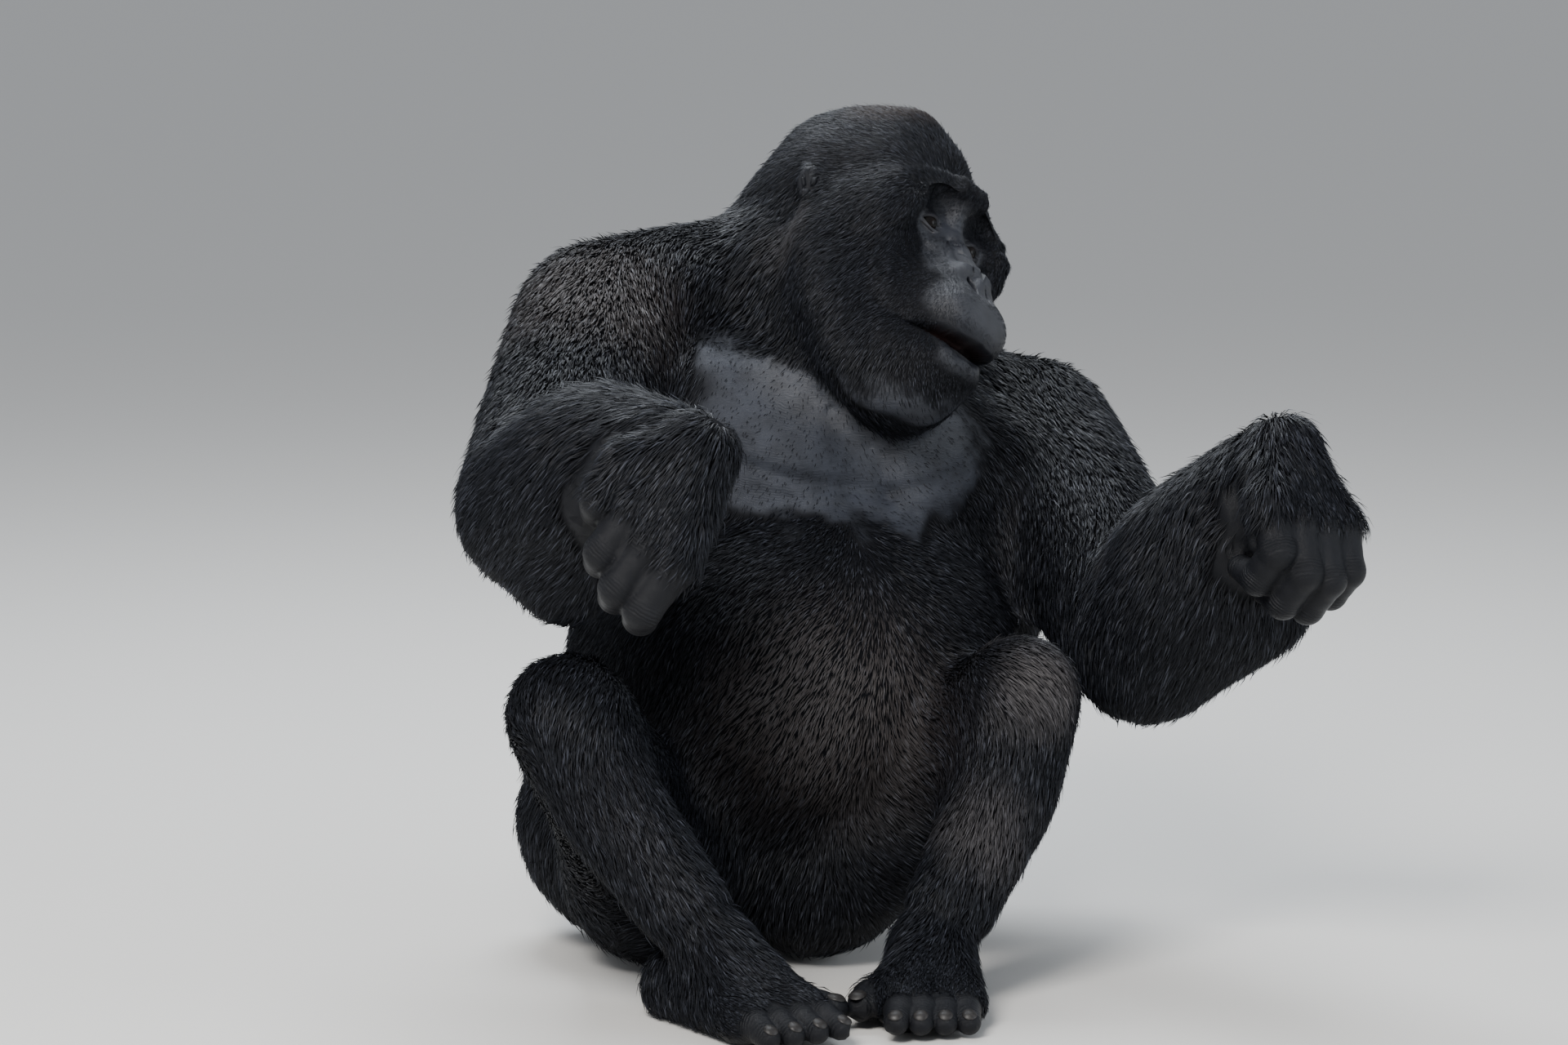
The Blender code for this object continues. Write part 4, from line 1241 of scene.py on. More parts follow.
class Coat:
    """Thin locks of hair that lie along the skin, made patch by patch.

    Each lock is a small ridged leaf: it starts in one point below the skin, is
    broadest at the middle, where a ridge stands between two edges, and ends in one tip.
    """

    PATCH = 0.003
    CLUMP = 0.009
    CLUMPING = 0.34
    CELL_KEYS = np.array([73856093, 19349663, 83492791])
    CORNERS = 5

    def __init__(self, skin: bpy.types.Object, forms: Skin, coat: CoatMap, thinning: float) -> None:
        """Read the skin's triangles.

        Args:
            skin: the finished skin.
            forms: what the skin was fitted to.
            coat: the fields over the body.
            thinning: share of the locks that is made.
        """
        self.surface = Surface(skin)
        self.forms, self.coat, self.thinning = forms, coat, thinning
        mesh = skin.data
        mesh.calc_loop_triangles()
        flat = np.empty(len(mesh.loop_triangles) * 3, np.int32)
        mesh.loop_triangles.foreach_get("vertices", flat)
        self.corners = flat.reshape(-1, 3)
        self.points, self.normals = vertices_of(mesh), normals_of(mesh)
        triangle = self.points[self.corners]
        cross = np.cross(triangle[:, 1] - triangle[:, 0], triangle[:, 2] - triangle[:, 0])
        self.area = np.linalg.norm(cross, axis=1) / 2.0
        middle, normal = triangle.mean(axis=1), unit(cross)
        self.middle = middle
        self.shares = coat.shares(middle)
        self.zone = self.shares.argmax(axis=1)
        bare = forms.bareness(middle, normal)
        buried = 1.0 - ramp(0.004, 0.008, middle[:, 2])
        margin = coat.face_margin(middle)
        thin = 0.34 * ramp(-0.034, -0.002, margin) * (margin < 0.010) * forms.off_lips(middle)
        thin = np.maximum(thin, 0.20 * coat.chest_bare(middle, normal))
        self.cover = np.maximum(1.0 - bare, thin) * (1.0 - buried)
        crowd = 1.0 / (coat.blend(self.shares, "length") * coat.blend(self.shares, "width"))
        crowd = crowd / coat.head_growth(middle) ** 1.2
        self.density = self.cover * crowd * self.area

    def roots(self, patch: Patch, dice: np.random.Generator) -> tuple[Array, Array]:
        """Root places spread over a patch by area and density, and the normals there."""
        wanted = np.isin(self.zone, [self.coat.names.index(name) for name in patch.zones])
        if patch.half:
            wanted &= self.coat.head.into(self.middle)[:, 0] * patch.half > 0.0
        weight = np.where(wanted, self.density, 0.0)
        steps = np.cumsum(weight)
        count = int(patch.locks * self.thinning)
        pick = np.searchsorted(steps, (np.arange(count) + dice.random(count)) / count * steps[-1])
        corner = self.corners[np.minimum(pick, len(self.corners) - 1)]
        first, second = np.sqrt(dice.random(count)), dice.random(count)
        share = np.stack([1.0 - first, first * (1.0 - second), first * second], axis=1)[:, :, None]
        return (self.points[corner] * share).sum(axis=1), unit((self.normals[corner] * share).sum(axis=1))

    def clump(self, roots: Array, middles: Array, tips: Array,
              dice: np.random.Generator) -> tuple[Array, Array]:
        """Draw the tips of neighbouring locks together.

        Locks whose warped roots fall into the same small cell make a clump; each
        tip goes part of the way to the mean tip of its clump.
        """
        warp = swirl(roots, 0.045, 41) * self.CLUMP * 0.7
        cell = np.floor((roots + warp) / self.CLUMP).astype(np.int64)
        key = (cell * self.CELL_KEYS).sum(axis=1)
        _, group = np.unique(key, return_inverse=True)
        count = np.bincount(group)[:, None]
        centre = np.stack([np.bincount(group, tips[:, k]) for k in range(3)], axis=1) / count
        waist = np.stack([np.bincount(group, middles[:, k]) for k in range(3)], axis=1) / count
        pull = self.CLUMPING * dice.uniform(0.4, 1.3, len(roots))[:, None]
        return mix(middles, waist[group], pull * 0.45), mix(tips, centre[group], pull)

    def chart(self, roots: Array, zone: Array) -> Array:
        """Places on an unwrap of the body: each zone unrolled round its bone into its own strip."""
        spots = np.zeros((len(roots), 2))
        rows = math.ceil(len(self.coat.zones) / 4)
        for number, part in enumerate(self.coat.zones):
            chosen = zone == number
            axis = unit(part.end - part.start)
            across = unit(np.cross(axis, np.array([0.31, 0.87, 0.38])))
            offset = roots[chosen] - part.start
            length = np.linalg.norm(part.end - part.start)
            along = np.clip((offset @ axis + part.girth) / (length + 2.0 * part.girth), 0.0, 1.0)
            turn = np.arctan2(offset @ np.cross(axis, across), offset @ across) / (2.0 * math.pi) + 0.5
            column, row = number % 4, number // 4
            spots[chosen, 0] = (column + 0.03 + turn * 0.94) / 4.0
            spots[chosen, 1] = (row + 0.03 + along * 0.94) / rows
        return spots

    def build(self, patch: Patch, seed: int) -> bpy.types.Object:
        """Make one patch of the coat.

        Args:
            patch: its zones and number of locks.
            seed: start of its random numbers.
        Returns:
            The finished object.
        """
        dice = np.random.default_rng(seed)
        roots, normals = self.roots(patch, dice)
        count = len(roots)
        shares = self.coat.shares(roots)
        growth = self.coat.head_growth(roots) * (1.0 - 0.55 * self.coat.chest_bare(roots, normals))
        spread = dice.lognormal(0.0, 0.22, count)
        length = self.coat.blend(shares, "length") * growth * spread
        depth = self.coat.blend(shares, "depth") * growth
        width = self.coat.blend(shares, "width") * dice.uniform(0.6, 1.25, count) * growth**0.75
        width = width / math.sqrt(self.thinning)
        free = self.coat.blend(shares, "free") * dice.random(count) * 1.6
        lie = self.coat.lie(roots, normals, self.coat.shares(roots, 5.0))
        jitter = dice.normal(0.0, 0.20, (count, 3))
        lie = unit(lie + jitter - normals * np.einsum("ij,ij->i", jitter, normals)[:, None])
        half = length[:, None] * 0.5 / (1.0 + 0.15 * dice.random(count)[:, None])
        middles, middle_normals = self.surface.nearest(roots + lie * half)
        onward = self.coat.lie(middles, middle_normals, self.coat.shares(middles, 5.0))
        onward = unit(lie * 0.6 + onward * 0.4)
        tips, tip_normals = self.surface.nearest(middles + onward * half)
        loose = middles + unit(onward + DOWN * 0.35 + middle_normals * 0.25) * half
        tips = mix(tips, loose, free[:, None])
        lift = dice.uniform(0.40, 1.25, count) + 0.9 * (dice.random(count) < 0.05)
        middles = middles + middle_normals * (depth * 0.62 * lift)[:, None]
        tips = tips + tip_normals * (depth * lift)[:, None]
        middles, tips = self.clump(roots, middles, tips, dice)
        points = self._leaves(roots - normals * 0.0015, middles, tips, normals, middle_normals, width, dice)
        points[:, 2] = np.maximum(points[:, 2], 0.0015)
        item = self._mesh(patch.name, points, count)
        self._mark(item, roots, normals, shares, count, dice)
        return item

    def _leaves(self, roots: Array, middles: Array, tips: Array, normals: Array, middle_normals: Array,
                width: Array, dice: np.random.Generator) -> Array:
        """Five vertices for each lock: root, left edge, ridge, right edge and tip."""
        side = unit(np.cross(unit(tips - roots), normals))
        roll = dice.normal(0.0, 0.35, len(roots))[:, None]
        side = unit(side * np.cos(roll) + normals * np.sin(roll))
        half, peak = (width / 2.0)[:, None], (width * 0.36)[:, None]
        rows = [roots, middles - side * half, middles + middle_normals * peak, middles + side * half, tips]
        return np.stack(rows, axis=1).reshape(-1, 3)

    def _mesh(self, name: str, points: Array, count: int) -> bpy.types.Object:
        """Mesh of all locks: two triangles from root to middle and two to the tip."""
        start = np.arange(count, dtype=np.int32)[:, None] * self.CORNERS
        leaf = np.array([0, 2, 1, 0, 3, 2, 2, 4, 1, 3, 4, 2], np.int32)
        loops = (start + leaf).ravel()
        mesh = bpy.data.meshes.new(name)
        mesh.vertices.add(len(points))
        mesh.loops.add(len(loops))
        mesh.polygons.add(len(loops) // 3)
        mesh.vertices.foreach_set("co", points.astype(np.float32).ravel())
        mesh.loops.foreach_set("vertex_index", loops)
        mesh.polygons.foreach_set("loop_start", np.arange(0, len(loops), 3, dtype=np.int32))
        mesh.update(calc_edges=True)
        mesh.shade_smooth()
        item = bpy.data.objects.new(name, mesh)
        bpy.context.scene.collection.objects.link(item)
        return item

    def _mark(self, item: bpy.types.Object, roots: Array, normals: Array, shares: Array, count: int,
              dice: np.random.Generator) -> None:
        """Store each lock's place on the unwrap and the values that its material reads."""
        mesh = item.data
        put_value(mesh, "silver_and_sheen", np.repeat(self.coat.silver_and_sheen(roots, normals), self.CORNERS))
        put_value(mesh, "brown", np.repeat(self.coat.brown(roots), self.CORNERS))
        put_value(mesh, "lot", np.repeat(dice.random(count), self.CORNERS))
        put_value(mesh, "tip", np.tile([0.0, 0.45, 0.5, 0.45, 1.0], count))
        spots = self.chart(roots, shares.argmax(axis=1))
        shift = np.array([[0.0, -0.5], [-0.5, 0.0], [0.0, 0.0], [0.5, 0.0], [0.0, 0.5]])
        corner = (spots[:, None, :] + shift[None] * self.PATCH).reshape(-1, 2)
        flat = np.empty(len(mesh.loops), np.int32)
        mesh.loops.foreach_get("vertex_index", flat)
        layer = mesh.uv_layers.new(name="OFBake")
        layer.data.foreach_set("uv", corner[flat].astype(np.float32).ravel())


# --- eyes and nails ---------------------------------------------------------------------------
@dataclass
class Eye:
    """An eyeball with a raised cornea; the iris and pupil are painted by its material."""

    side: Side
    head: Axes
    radius: float = 0.0134
    cornea: float = 0.0011
    iris: float = 0.0076
    turns: int = 48
    rings: int = 32

    def build(self) -> bpy.types.Object:
        """Ball on a grid of two angles; the radius swells by a bell curve round the front."""
        centre = middle_of("eye_" + self.side.name.lower())
        polar = np.linspace(0.0, math.pi, self.rings + 1)[1:-1]
        turn = np.arange(self.turns) * 2.0 * math.pi / self.turns
        away, round_ = np.meshgrid(polar, turn, indexing="ij")
        swell = self.radius + self.cornea * np.exp(-(away * self.radius / (self.iris * 0.85)) ** 4)
        ring = np.stack([swell * np.sin(away) * np.cos(round_), swell * np.sin(away) * np.sin(round_),
                         swell * np.cos(away)], axis=-1).reshape(-1, 3)
        local = np.vstack([[0.0, 0.0, self.radius + self.cornea], ring, [0.0, 0.0, -self.radius]])
        gaze = Axes.looking(centre, self.head.turn(np.array([1.0, 0.0, -0.08])),
                            self.head.turn(np.array([0.0, 1.0, 0.06])))
        name = "eyeball_" + self.side.name.lower()
        item = new_mesh_object(name, gaze.out(local), ball_faces(self.turns, self.rings))
        put_value(item.data, "away", np.linalg.norm(local[:, :2], axis=1) / self.iris
                  + (local[:, 2] < 0.0) * 9.0)
        put_value(item.data, "spoke", np.arctan2(local[:, 1], local[:, 0]))
        return item


@dataclass
class Nails:
    """Dark curved nails on the backs of fingers and toes, all in one piece."""

    digits: Sequence[Digit]
    across: int = 14
    along: int = 10
    thickness: float = 0.0009

    def build(self) -> bpy.types.Object:
        """Flattened closed balls bent over the ends of the digits."""
        points, faces, start = [], [], 0
        for digit in self.digits:
            shell, cells = self._nail(digit)
            points.append(shell)
            faces += [tuple(start + k for k in cell) for cell in cells]
            start += len(shell)
        return new_mesh_object("nails", np.vstack(points), faces)

    def _nail(self, digit: Digit) -> tuple[Array, list[tuple[int, ...]]]:
        """One nail: an ellipse of length and width laid on a cylinder of the digit's radius.

        The ball's angles are (a, b); its flat place is (width sin a cos b, length sin a
        sin b), and the height above the cylinder is the thickness times cos a.
        """
        radius = digit.radii[-1]
        width, length = radius * 0.66, radius * 0.62
        way = unit(digit.spots[-1] - digit.spots[-2])
        seat = Axes(digit.spots[-1] + way * radius * 0.16,
                    np.array([np.cross(digit.back, way), way, digit.back]))
        polar = np.linspace(0.0, math.pi, self.along + 1)[1:-1]
        turn = np.arange(self.across) * 2.0 * math.pi / self.across
        first, second = np.meshgrid(polar, turn, indexing="ij")
        flat_x = (width * np.sin(first) ** 0.7 * np.cos(second)).ravel()
        flat_y = (length * np.sin(first) ** 0.7 * np.sin(second)).ravel()
        height = (self.thickness * np.cos(first)).ravel()
        flat_x = np.concatenate([[0.0], flat_x, [0.0]])
        flat_y = np.concatenate([[0.0], flat_y, [0.0]])
        height = np.concatenate([[self.thickness], height, [-self.thickness]])
        reach = radius - 0.0001 + height
        bend = flat_x / radius
        sink = (np.maximum(flat_y, 0.0) / length) ** 2 * radius * 0.35
        local = np.stack([reach * np.sin(bend), flat_y, reach * np.cos(bend) - sink], axis=1)
        return seat.out(local), ball_faces(self.across, self.along)


# --- finishes ---------------------------------------------------------------------------------
class Nodes:
    """Short ways to add and wire shader nodes in one tree."""

    def __init__(self, tree: bpy.types.NodeTree) -> None:
        """Keep the tree."""
        self.tree = tree

    def add(self, kind: str, **settings: object) -> bpy.types.Node:
        """Add a node and set its properties."""
        node = self.tree.nodes.new(kind)
        for key, value in settings.items():
            setattr(node, key, value)
        return node

    def wire(self, source: object, target: object) -> None:
        """Join an output to an input, or put a plain value into it."""
        if isinstance(source, bpy.types.NodeSocket):
            self.tree.links.new(source, target)
        else:
            target.default_value = source

    def noise(self, place: object, scale: object, **settings: float) -> bpy.types.NodeSocket:
        """Output of a noise at a place; the settings are its other inputs."""
        node = self.add("ShaderNodeTexNoise")
        self.wire(place, node.inputs["Vector"])
        self.wire(scale, node.inputs["Scale"])
        for key, value in settings.items():
            node.inputs[key].default_value = value
        return node.outputs["Fac"]

    def value(self, name: str) -> bpy.types.NodeSocket:
        """Output of a stored value by its name."""
        return self.add("ShaderNodeAttribute", attribute_name=name).outputs["Fac"]

    def math(self, operation: str, first: object, second: object = 0.5) -> bpy.types.NodeSocket:
        """Output of a sum on two values."""
        node = self.add("ShaderNodeMath", operation=operation)
        self.wire(first, node.inputs[0])
        self.wire(second, node.inputs[1])
        return node.outputs[0]

    def blend(self, share: object, first: object, second: object) -> bpy.types.NodeSocket:
        """Output of a colour mix."""
        node = self.add("ShaderNodeMix", data_type="RGBA")
        self.wire(share, node.inputs["Factor"])
        self.wire(first, node.inputs["A"])
        self.wire(second, node.inputs["B"])
        return node.outputs["Result"]

    def span(self, value: object, low: float, high: float, start: float, end: float) -> bpy.types.NodeSocket:
        """Output of a value carried from one range to another, clamped."""
        node = self.add("ShaderNodeMapRange")
        for number, item in enumerate((value, low, high, start, end)):
            self.wire(item, node.inputs[number])
        return node.outputs[0]


def new_finish(name: str) -> tuple[bpy.types.Material, Nodes, bpy.types.Node]:
    """A new material, its nodes and its surface shader."""
    item = bpy.data.materials.new(name)
    item.use_nodes = True
    return item, Nodes(item.node_tree), item.node_tree.nodes["Principled BSDF"]


def rgb(colour: Sequence[float]) -> tuple[float, float, float, float]:
    """A colour with full cover."""
    return (*colour, 1.0)


def skin_relief_group() -> bpy.types.NodeTree:
    """Group: heights of pores, rows of fine wrinkles and creases across the digits.

    Returns:
        A node group with Vector, scales, Wrinkle Share, Along and Joint in and Height out.
    """
    row_pitch, row_tilt, row_waver = 1900.0, 0.16, 0.022
    crease_pitch, crease_waver, crease_depth = 1550.0, 22.0, 1.6
    tree = bpy.data.node_groups.new("skin_relief", "ShaderNodeTree")
    tree.interface.new_socket("Vector", in_out="INPUT", socket_type="NodeSocketVector")
    for name in ("Pore Scale", "Wrinkle Scale", "Wrinkle Share", "Along", "Joint"):
        tree.interface.new_socket(name, in_out="INPUT", socket_type="NodeSocketFloat")
    tree.interface.new_socket("Height", in_out="OUTPUT", socket_type="NodeSocketFloat")
    nodes = Nodes(tree)
    ends = nodes.add("NodeGroupInput").outputs
    place = ends["Vector"]
    pores = nodes.add("ShaderNodeTexVoronoi", feature="DISTANCE_TO_EDGE")
    nodes.wire(place, pores.inputs["Vector"])
    nodes.wire(ends["Pore Scale"], pores.inputs["Scale"])
    cells = nodes.span(pores.outputs["Distance"], 0.0, 0.35, 0.0, 1.0)
    mottle = nodes.noise(place, ends["Pore Scale"], Detail=4.0)
    squash = nodes.add("ShaderNodeMapping")
    squash.inputs["Rotation"].default_value = (0.0, 0.35, 0.0)
    squash.inputs["Scale"].default_value = (0.16, 0.30, 1.0)
    nodes.wire(place, squash.inputs["Vector"])
    lines = nodes.noise(squash.outputs["Vector"], ends["Wrinkle Scale"],
                        Detail=5.0, Roughness=0.62, Distortion=0.6)
    fine = nodes.math("ADD", nodes.math("MULTIPLY", cells, 0.55), nodes.math("MULTIPLY", mottle, 0.6))
    stray = nodes.noise(place, 26.0)
    apart = nodes.add("ShaderNodeSeparateXYZ")
    nodes.wire(place, apart.inputs[0])
    height = nodes.math("ADD", apart.outputs["Z"], nodes.math("MULTIPLY", apart.outputs["X"], row_tilt))
    height = nodes.math("ADD", height, nodes.math("MULTIPLY", stray, row_waver))
    row = nodes.math("SINE", nodes.math("MULTIPLY", height, row_pitch))
    row = nodes.math("MULTIPLY", row, nodes.span(stray, 0.44, 0.64, 0.0, 0.38))
    long_part = nodes.math("ADD", nodes.math("MULTIPLY", lines, 4.0), row)
    long_part = nodes.math("MULTIPLY", long_part, ends["Wrinkle Share"])
    bend = nodes.math("ADD", nodes.math("MULTIPLY", ends["Along"], crease_pitch),
                      nodes.math("MULTIPLY", stray, crease_waver))
    rise = nodes.math("MULTIPLY", nodes.math("SINE", bend), nodes.span(mottle, 0.35, 0.65, 0.1, 1.3))
    rise = nodes.math("ADD", rise, nodes.math("MULTIPLY", lines, 2.0))
    crease = nodes.math("MULTIPLY", rise, nodes.math("MULTIPLY", ends["Joint"], crease_depth))
    out = nodes.add("NodeGroupOutput")
    nodes.wire(nodes.math("ADD", nodes.math("ADD", fine, long_part), crease), out.inputs["Height"])
    return tree


@dataclass(frozen=True)
class SkinFinish:
    """Bare grey-black skin, darker under the coat, paler on the lids, dark inside the lips, with painted
    shade in the eye sockets and darker lips and ears.
    """

    furred: tuple[float, float, float] = (0.0065, 0.0068, 0.0082)
    bare: tuple[float, float, float] = (0.0170, 0.0192, 0.0265)
    chest: tuple[float, float, float] = (0.034, 0.038, 0.049)
    lids: tuple[float, float, float] = (0.022, 0.022, 0.027)
    mouth: tuple[float, float, float] = (0.007, 0.003, 0.003)
    hand: tuple[float, float, float] = (0.0062, 0.0068, 0.0090)
    # Painted shade: the colour of the shadowed eye sockets, also used to darken the lips and ears.
    shade: tuple[float, float, float] = (0.0042, 0.0042, 0.0052)
    pore_scale: float = 1150.0
    wrinkle_scale: float = 210.0
    spot_scale: float = 38.0
    bump_strength: float = 0.6
    bump_height: float = 0.0005

    def make(self) -> bpy.types.Material:
        """Build the material."""
        item, nodes, shader = new_finish("gorilla_skin")
        place = nodes.add("ShaderNodeTexCoord").outputs["Object"]
        spots = nodes.noise(place, self.spot_scale, Detail=5.0)
        bare, chest = nodes.value("bare"), nodes.value("chest")
        hand = nodes.value("hand")
        skin = nodes.blend(hand, rgb(self.bare), rgb(self.hand))
        skin = nodes.blend(chest, skin, rgb(self.chest))
        # Painted shade in the eye sockets, and darker lips and ears, from the stored value.
        skin = nodes.blend(nodes.math("MULTIPLY", nodes.value("dark"), 0.8), skin, rgb(self.shade))
        skin = nodes.blend(nodes.math("MULTIPLY", nodes.value("lids"), 0.8), skin, rgb(self.lids))
        dark = nodes.blend(nodes.span(spots, 0.35, 0.70, 0.0, 0.45), skin, rgb(self.furred))
        colour = nodes.blend(bare, rgb(self.furred), dark)
        colour = nodes.blend(nodes.value("mouth"), colour, rgb(self.mouth))
        nodes.wire(colour, shader.inputs["Base Color"])
        rough = nodes.math("ADD", nodes.span(spots, 0.3, 0.7, 0.36, 0.48),
                           nodes.span(bare, 0.0, 1.0, 0.35, 0.0))
        nodes.wire(rough, shader.inputs["Roughness"])
        relief = nodes.add("ShaderNodeGroup", node_tree=bpy.data.node_groups["skin_relief"])
        nodes.wire(place, relief.inputs["Vector"])
        relief.inputs["Pore Scale"].default_value = self.pore_scale
        relief.inputs["Wrinkle Scale"].default_value = self.wrinkle_scale
        nodes.wire(chest, relief.inputs["Wrinkle Share"])
        nodes.wire(nodes.value("along"), relief.inputs["Along"])
        nodes.wire(nodes.value("joint"), relief.inputs["Joint"])
        bump = nodes.add("ShaderNodeBump")
        bump.inputs["Strength"].default_value = self.bump_strength
        bump.inputs["Distance"].default_value = self.bump_height
        nodes.wire(relief.outputs["Height"], bump.inputs["Height"])
        nodes.wire(bump.outputs["Normal"], shader.inputs["Normal"])
        gloss = nodes.math("MULTIPLY", nodes.span(bare, 0.0, 1.0, 0.06, 0.46),
                           nodes.span(hand, 0.0, 1.0, 1.0, 0.35))
        gloss = nodes.math("MULTIPLY", gloss, nodes.span(nodes.value("dark"), 0.0, 1.0, 1.0, 0.18))
        nodes.wire(gloss, shader.inputs["Specular IOR Level"])
        return item


@dataclass(frozen=True)
class CoatFinish:
    """Blue-black hair with scattered paler strands as painted sheen, and silver and brown where the markings
    and the painted sheen of light say.
    """

    root: tuple[float, float, float] = (0.004, 0.004, 0.005)
    black: tuple[float, float, float] = (0.0052, 0.0060, 0.0086)
    # Painted sheen: pale blue-grey for locks that look as if they catch the light.
    sheen_strand: tuple[float, float, float] = (0.042, 0.046, 0.060)
    silver_and_sheen: tuple[float, float, float] = (0.090, 0.083, 0.084)
    brown: tuple[float, float, float] = (0.028, 0.021, 0.019)

    def make(self) -> bpy.types.Material:
        """Build the material."""
        item, nodes, shader = new_finish("gorilla_coat")
        lot, tip = nodes.value("lot"), nodes.value("tip")
        silver_and_sheen, brown = nodes.value("silver_and_sheen"), nodes.value("brown")
        colour = nodes.blend(nodes.math("MULTIPLY", brown, 0.8), rgb(self.black), rgb(self.brown))
        # Painted sheen: a share of the locks, chosen at random, is painted pale like hairs catching light.
        colour = nodes.blend(nodes.span(lot, 0.70, 1.0, 0.0, 0.75), colour, rgb(self.sheen_strand))
        # Silver saddle, and the patches of painted sheen, from the stored value.
        grey_share = nodes.math("MULTIPLY", silver_and_sheen, nodes.span(lot, 0.0, 1.0, 0.30, 0.85))
        colour = nodes.blend(grey_share, colour, rgb(self.silver_and_sheen))
        shade = nodes.blend(nodes.span(tip, 0.0, 0.6, 0.0, 1.0), rgb(self.root), colour)
        nodes.wire(shade, shader.inputs["Base Color"])
        nodes.wire(nodes.span(lot, 0.0, 1.0, 0.66, 0.46), shader.inputs["Roughness"])
        shader.inputs["Specular IOR Level"].default_value = 0.15
        return item


@dataclass(frozen=True)
class EyeFinish:
    """Dark brown eye: black pupil, streaked iris, dusky white."""

    pupil: tuple[float, float, float] = (0.002, 0.002, 0.002)
    iris: tuple[float, float, float] = (0.0048, 0.0026, 0.0017)
    rim: tuple[float, float, float] = (0.003, 0.002, 0.002)
    white: tuple[float, float, float] = (0.005, 0.004, 0.0035)

    def make(self) -> bpy.types.Material:
        """Build the material from the distance to the middle of the pupil."""
        item, nodes, shader = new_finish("gorilla_eye")
        away, spoke = nodes.value("away"), nodes.value("spoke")
        spokes = nodes.add("ShaderNodeCombineXYZ")
        nodes.wire(nodes.math("MULTIPLY", spoke, 7.0), spokes.inputs[0])
        nodes.wire(nodes.math("MULTIPLY", away, 1.2), spokes.inputs[1])
        streak = nodes.noise(spokes.outputs[0], 2.2)
        iris = nodes.blend(nodes.span(streak, 0.3, 0.7, 0.0, 0.7), rgb(self.iris), rgb(self.rim))
        iris = nodes.blend(nodes.span(away, 0.78, 1.0, 0.0, 1.0), iris, rgb(self.rim))
        eye = nodes.blend(nodes.span(away, 0.40, 0.46, 0.0, 1.0), rgb(self.pupil), iris)
        eye = nodes.blend(nodes.span(away, 1.0, 1.12, 0.0, 1.0), eye, rgb(self.white))
        nodes.wire(eye, shader.inputs["Base Color"])
        shader.inputs["Roughness"].default_value = 0.45
        shader.inputs["Specular IOR Level"].default_value = 0.05
        shader.inputs["Coat Weight"].default_value = 0.45
        shader.inputs["Coat IOR"].default_value = 1.33
        shader.inputs["Coat Roughness"].default_value = 0.04
        return item


@dataclass(frozen=True)
class NailFinish:
    """Black horn with fine lengthwise streaks."""

    dark: tuple[float, float, float] = (0.010, 0.009, 0.009)
    worn: tuple[float, float, float] = (0.030, 0.026, 0.023)
    streak_scale: float = 420.0

    def make(self) -> bpy.types.Material:
        """Build the material."""
        item, nodes, shader = new_finish("gorilla_nail")
        streak = nodes.noise(nodes.add("ShaderNodeTexCoord").outputs["Object"], self.streak_scale)
        share = nodes.span(streak, 0.45, 0.75, 0.0, 0.6)
        nodes.wire(nodes.blend(share, rgb(self.dark), rgb(self.worn)), shader.inputs["Base Color"])
        nodes.wire(nodes.span(streak, 0.3, 0.7, 0.40, 0.58), shader.inputs["Roughness"])
        shader.inputs["Specular IOR Level"].default_value = 0.35
        return item


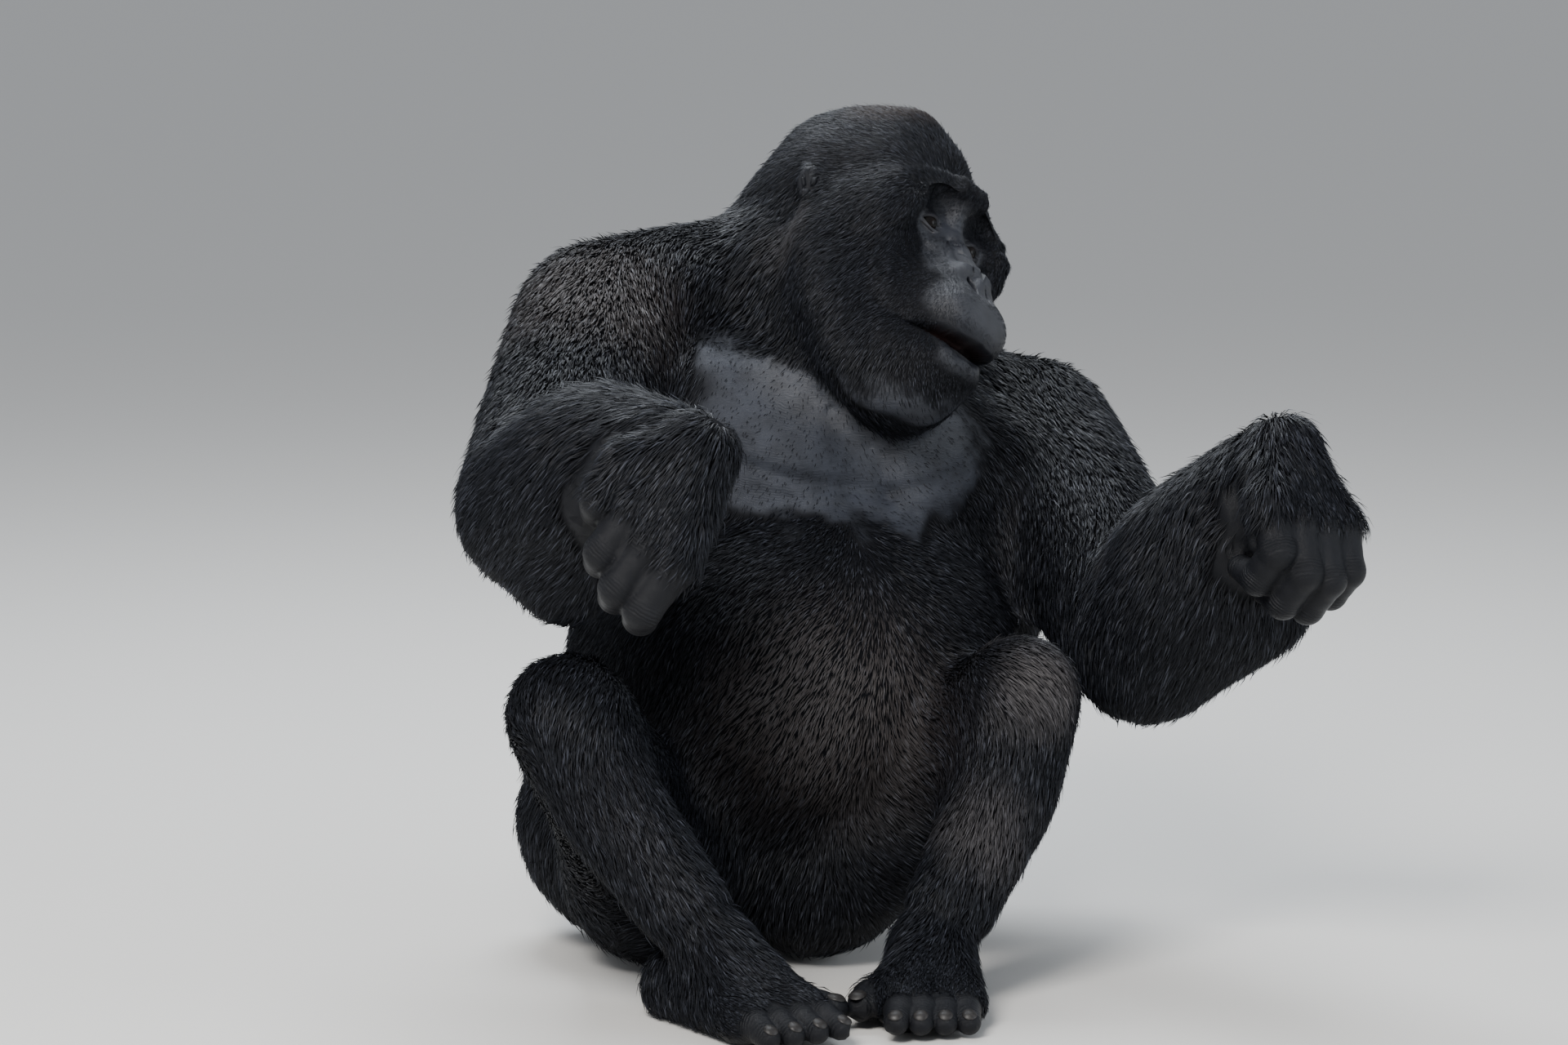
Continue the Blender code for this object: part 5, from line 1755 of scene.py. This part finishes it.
# --- studio -----------------------------------------------------------------------------------
@dataclass
class Studio:
    """Pale floor, soft lights and the camera."""

    target: tuple[float, float, float] = (-0.0143, 0.1748, 0.5)
    distance: float = 7.0
    lens: float = 135.0
    azimuth: float = -20.0
    elevation: float = 8.0
    floor_colour: tuple[float, float, float] = (0.62, 0.61, 0.59)

    def camera(self) -> None:
        """Camera on a sphere round the target: azimuth about +Z, elevation above the floor."""
        turn, rise = math.radians(self.azimuth), math.radians(self.elevation)
        back = Vector((math.sin(turn) * math.cos(rise), -math.cos(turn) * math.cos(rise), math.sin(rise)))
        data = bpy.data.cameras.new("camera")
        data.lens = self.lens
        data.sensor_width = 36.0
        data.clip_end = 60.0
        item = bpy.data.objects.new("camera", data)
        spot = Vector(self.target) + back * self.distance
        item.matrix_world = Matrix.Translation(spot) @ back.to_track_quat("Z", "Y").to_matrix().to_4x4()
        bpy.context.scene.collection.objects.link(item)
        bpy.context.scene.camera = item

    def lamp(self, name: str, spot: Sequence[float], size: float, power: float,
             colour: Sequence[float] = (1.0, 1.0, 1.0)) -> None:
        """A square soft light that points at the animal."""
        data = bpy.data.lights.new(name, "AREA")
        data.size = size
        data.energy = power
        data.color = colour
        item = bpy.data.objects.new(name, data)
        aim = Vector(spot) - Vector(self.target)
        item.matrix_world = Matrix.Translation(spot) @ aim.to_track_quat("Z", "Y").to_matrix().to_4x4()
        bpy.context.scene.collection.objects.link(item)

    def build(self) -> None:
        """Floor, lights and camera."""
        half = 30.0
        floor = new_mesh_object("floor", np.array([[-half, -half, 0.0], [half, -half, 0.0],
                                                   [half, half, 0.0], [-half, half, 0.0]]), [(0, 1, 2, 3)])
        finish, _, shader = new_finish("floor")
        shader.inputs["Base Color"].default_value = rgb(self.floor_colour)
        shader.inputs["Roughness"].default_value = 0.9
        floor.data.materials.append(finish)
        self.lamp("key", (-2.2, -2.6, 3.2), 1.6, 260.0, (1.0, 0.97, 0.93))
        self.lamp("fill", (3.2, -2.6, 1.6), 2.4, 70.0, (0.88, 0.94, 1.0))
        self.lamp("top", (0.4, 1.8, 3.4), 2.0, 150.0, (0.90, 0.95, 1.0))
        world = bpy.data.worlds.new("studio")
        bpy.context.scene.world = world
        world.use_nodes = True
        world.node_tree.nodes["Background"].inputs["Color"].default_value = (0.80, 0.84, 0.90, 1.0)
        world.node_tree.nodes["Background"].inputs["Strength"].default_value = 0.65
        self.camera()


# --- everything in order --------------------------------------------------------------------------
PATCHES = (
    Patch("coat_head_left", ("crown",), 46000, 1),
    Patch("coat_head_right", ("crown",), 46000, -1),
    Patch("coat_belly", ("belly",), 44000),
    Patch("coat_rump", ("rump",), 24000),
    Patch("coat_back", ("back",), 24000),
    Patch("coat_upper_arm_right", ("upper_arm_right",), 27000),
    Patch("coat_upper_arm_left", ("upper_arm_left",), 27000),
    Patch("coat_forearm_right", ("forearm_right", "hand_right"), 30000),
    Patch("coat_forearm_left", ("forearm_left", "hand_left"), 30000),
    Patch("coat_leg_right", ("thigh_right", "shin_right", "foot_right"), 32000),
    Patch("coat_leg_left", ("thigh_left", "shin_left", "foot_left"), 32000))


def dress(item: bpy.types.Object, finish: bpy.types.Material) -> None:
    """Give a piece its material and its body, and report it."""
    item.data.materials.clear()
    item.data.materials.append(finish)
    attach(item, "root")
    LOG.info("%s: %d faces", item.name, len(item.data.polygons))


def main() -> None:
    """Build skin, coat, eyes, nails and studio in order."""
    logging.basicConfig(level=logging.INFO)
    stance = Stance()
    coat_map = CoatMap(stance)
    skin_relief_group()
    forms = Skin(stance, coat_map)
    skin = forms.build()
    dress(skin, SkinFinish().make())
    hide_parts(*Skin.FLESH)
    thinning = 1.0
    coat = Coat(skin, forms, coat_map, thinning)
    hair = CoatFinish().make()
    for number, patch in enumerate(PATCHES):
        dress(coat.build(patch, SEED + number), hair)
    wet = EyeFinish().make()
    for side in Side:
        eye = Eye(side, stance.head()).build()
        dress(eye, wet)
        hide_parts("eye_" + side.name.lower())
    digits = [digit for form in (*forms.hands, *forms.feet) for digit in form.digits]
    dress(Nails(digits).build(), NailFinish().make())
    Studio().build()


if __name__ == "__main__":
    main()
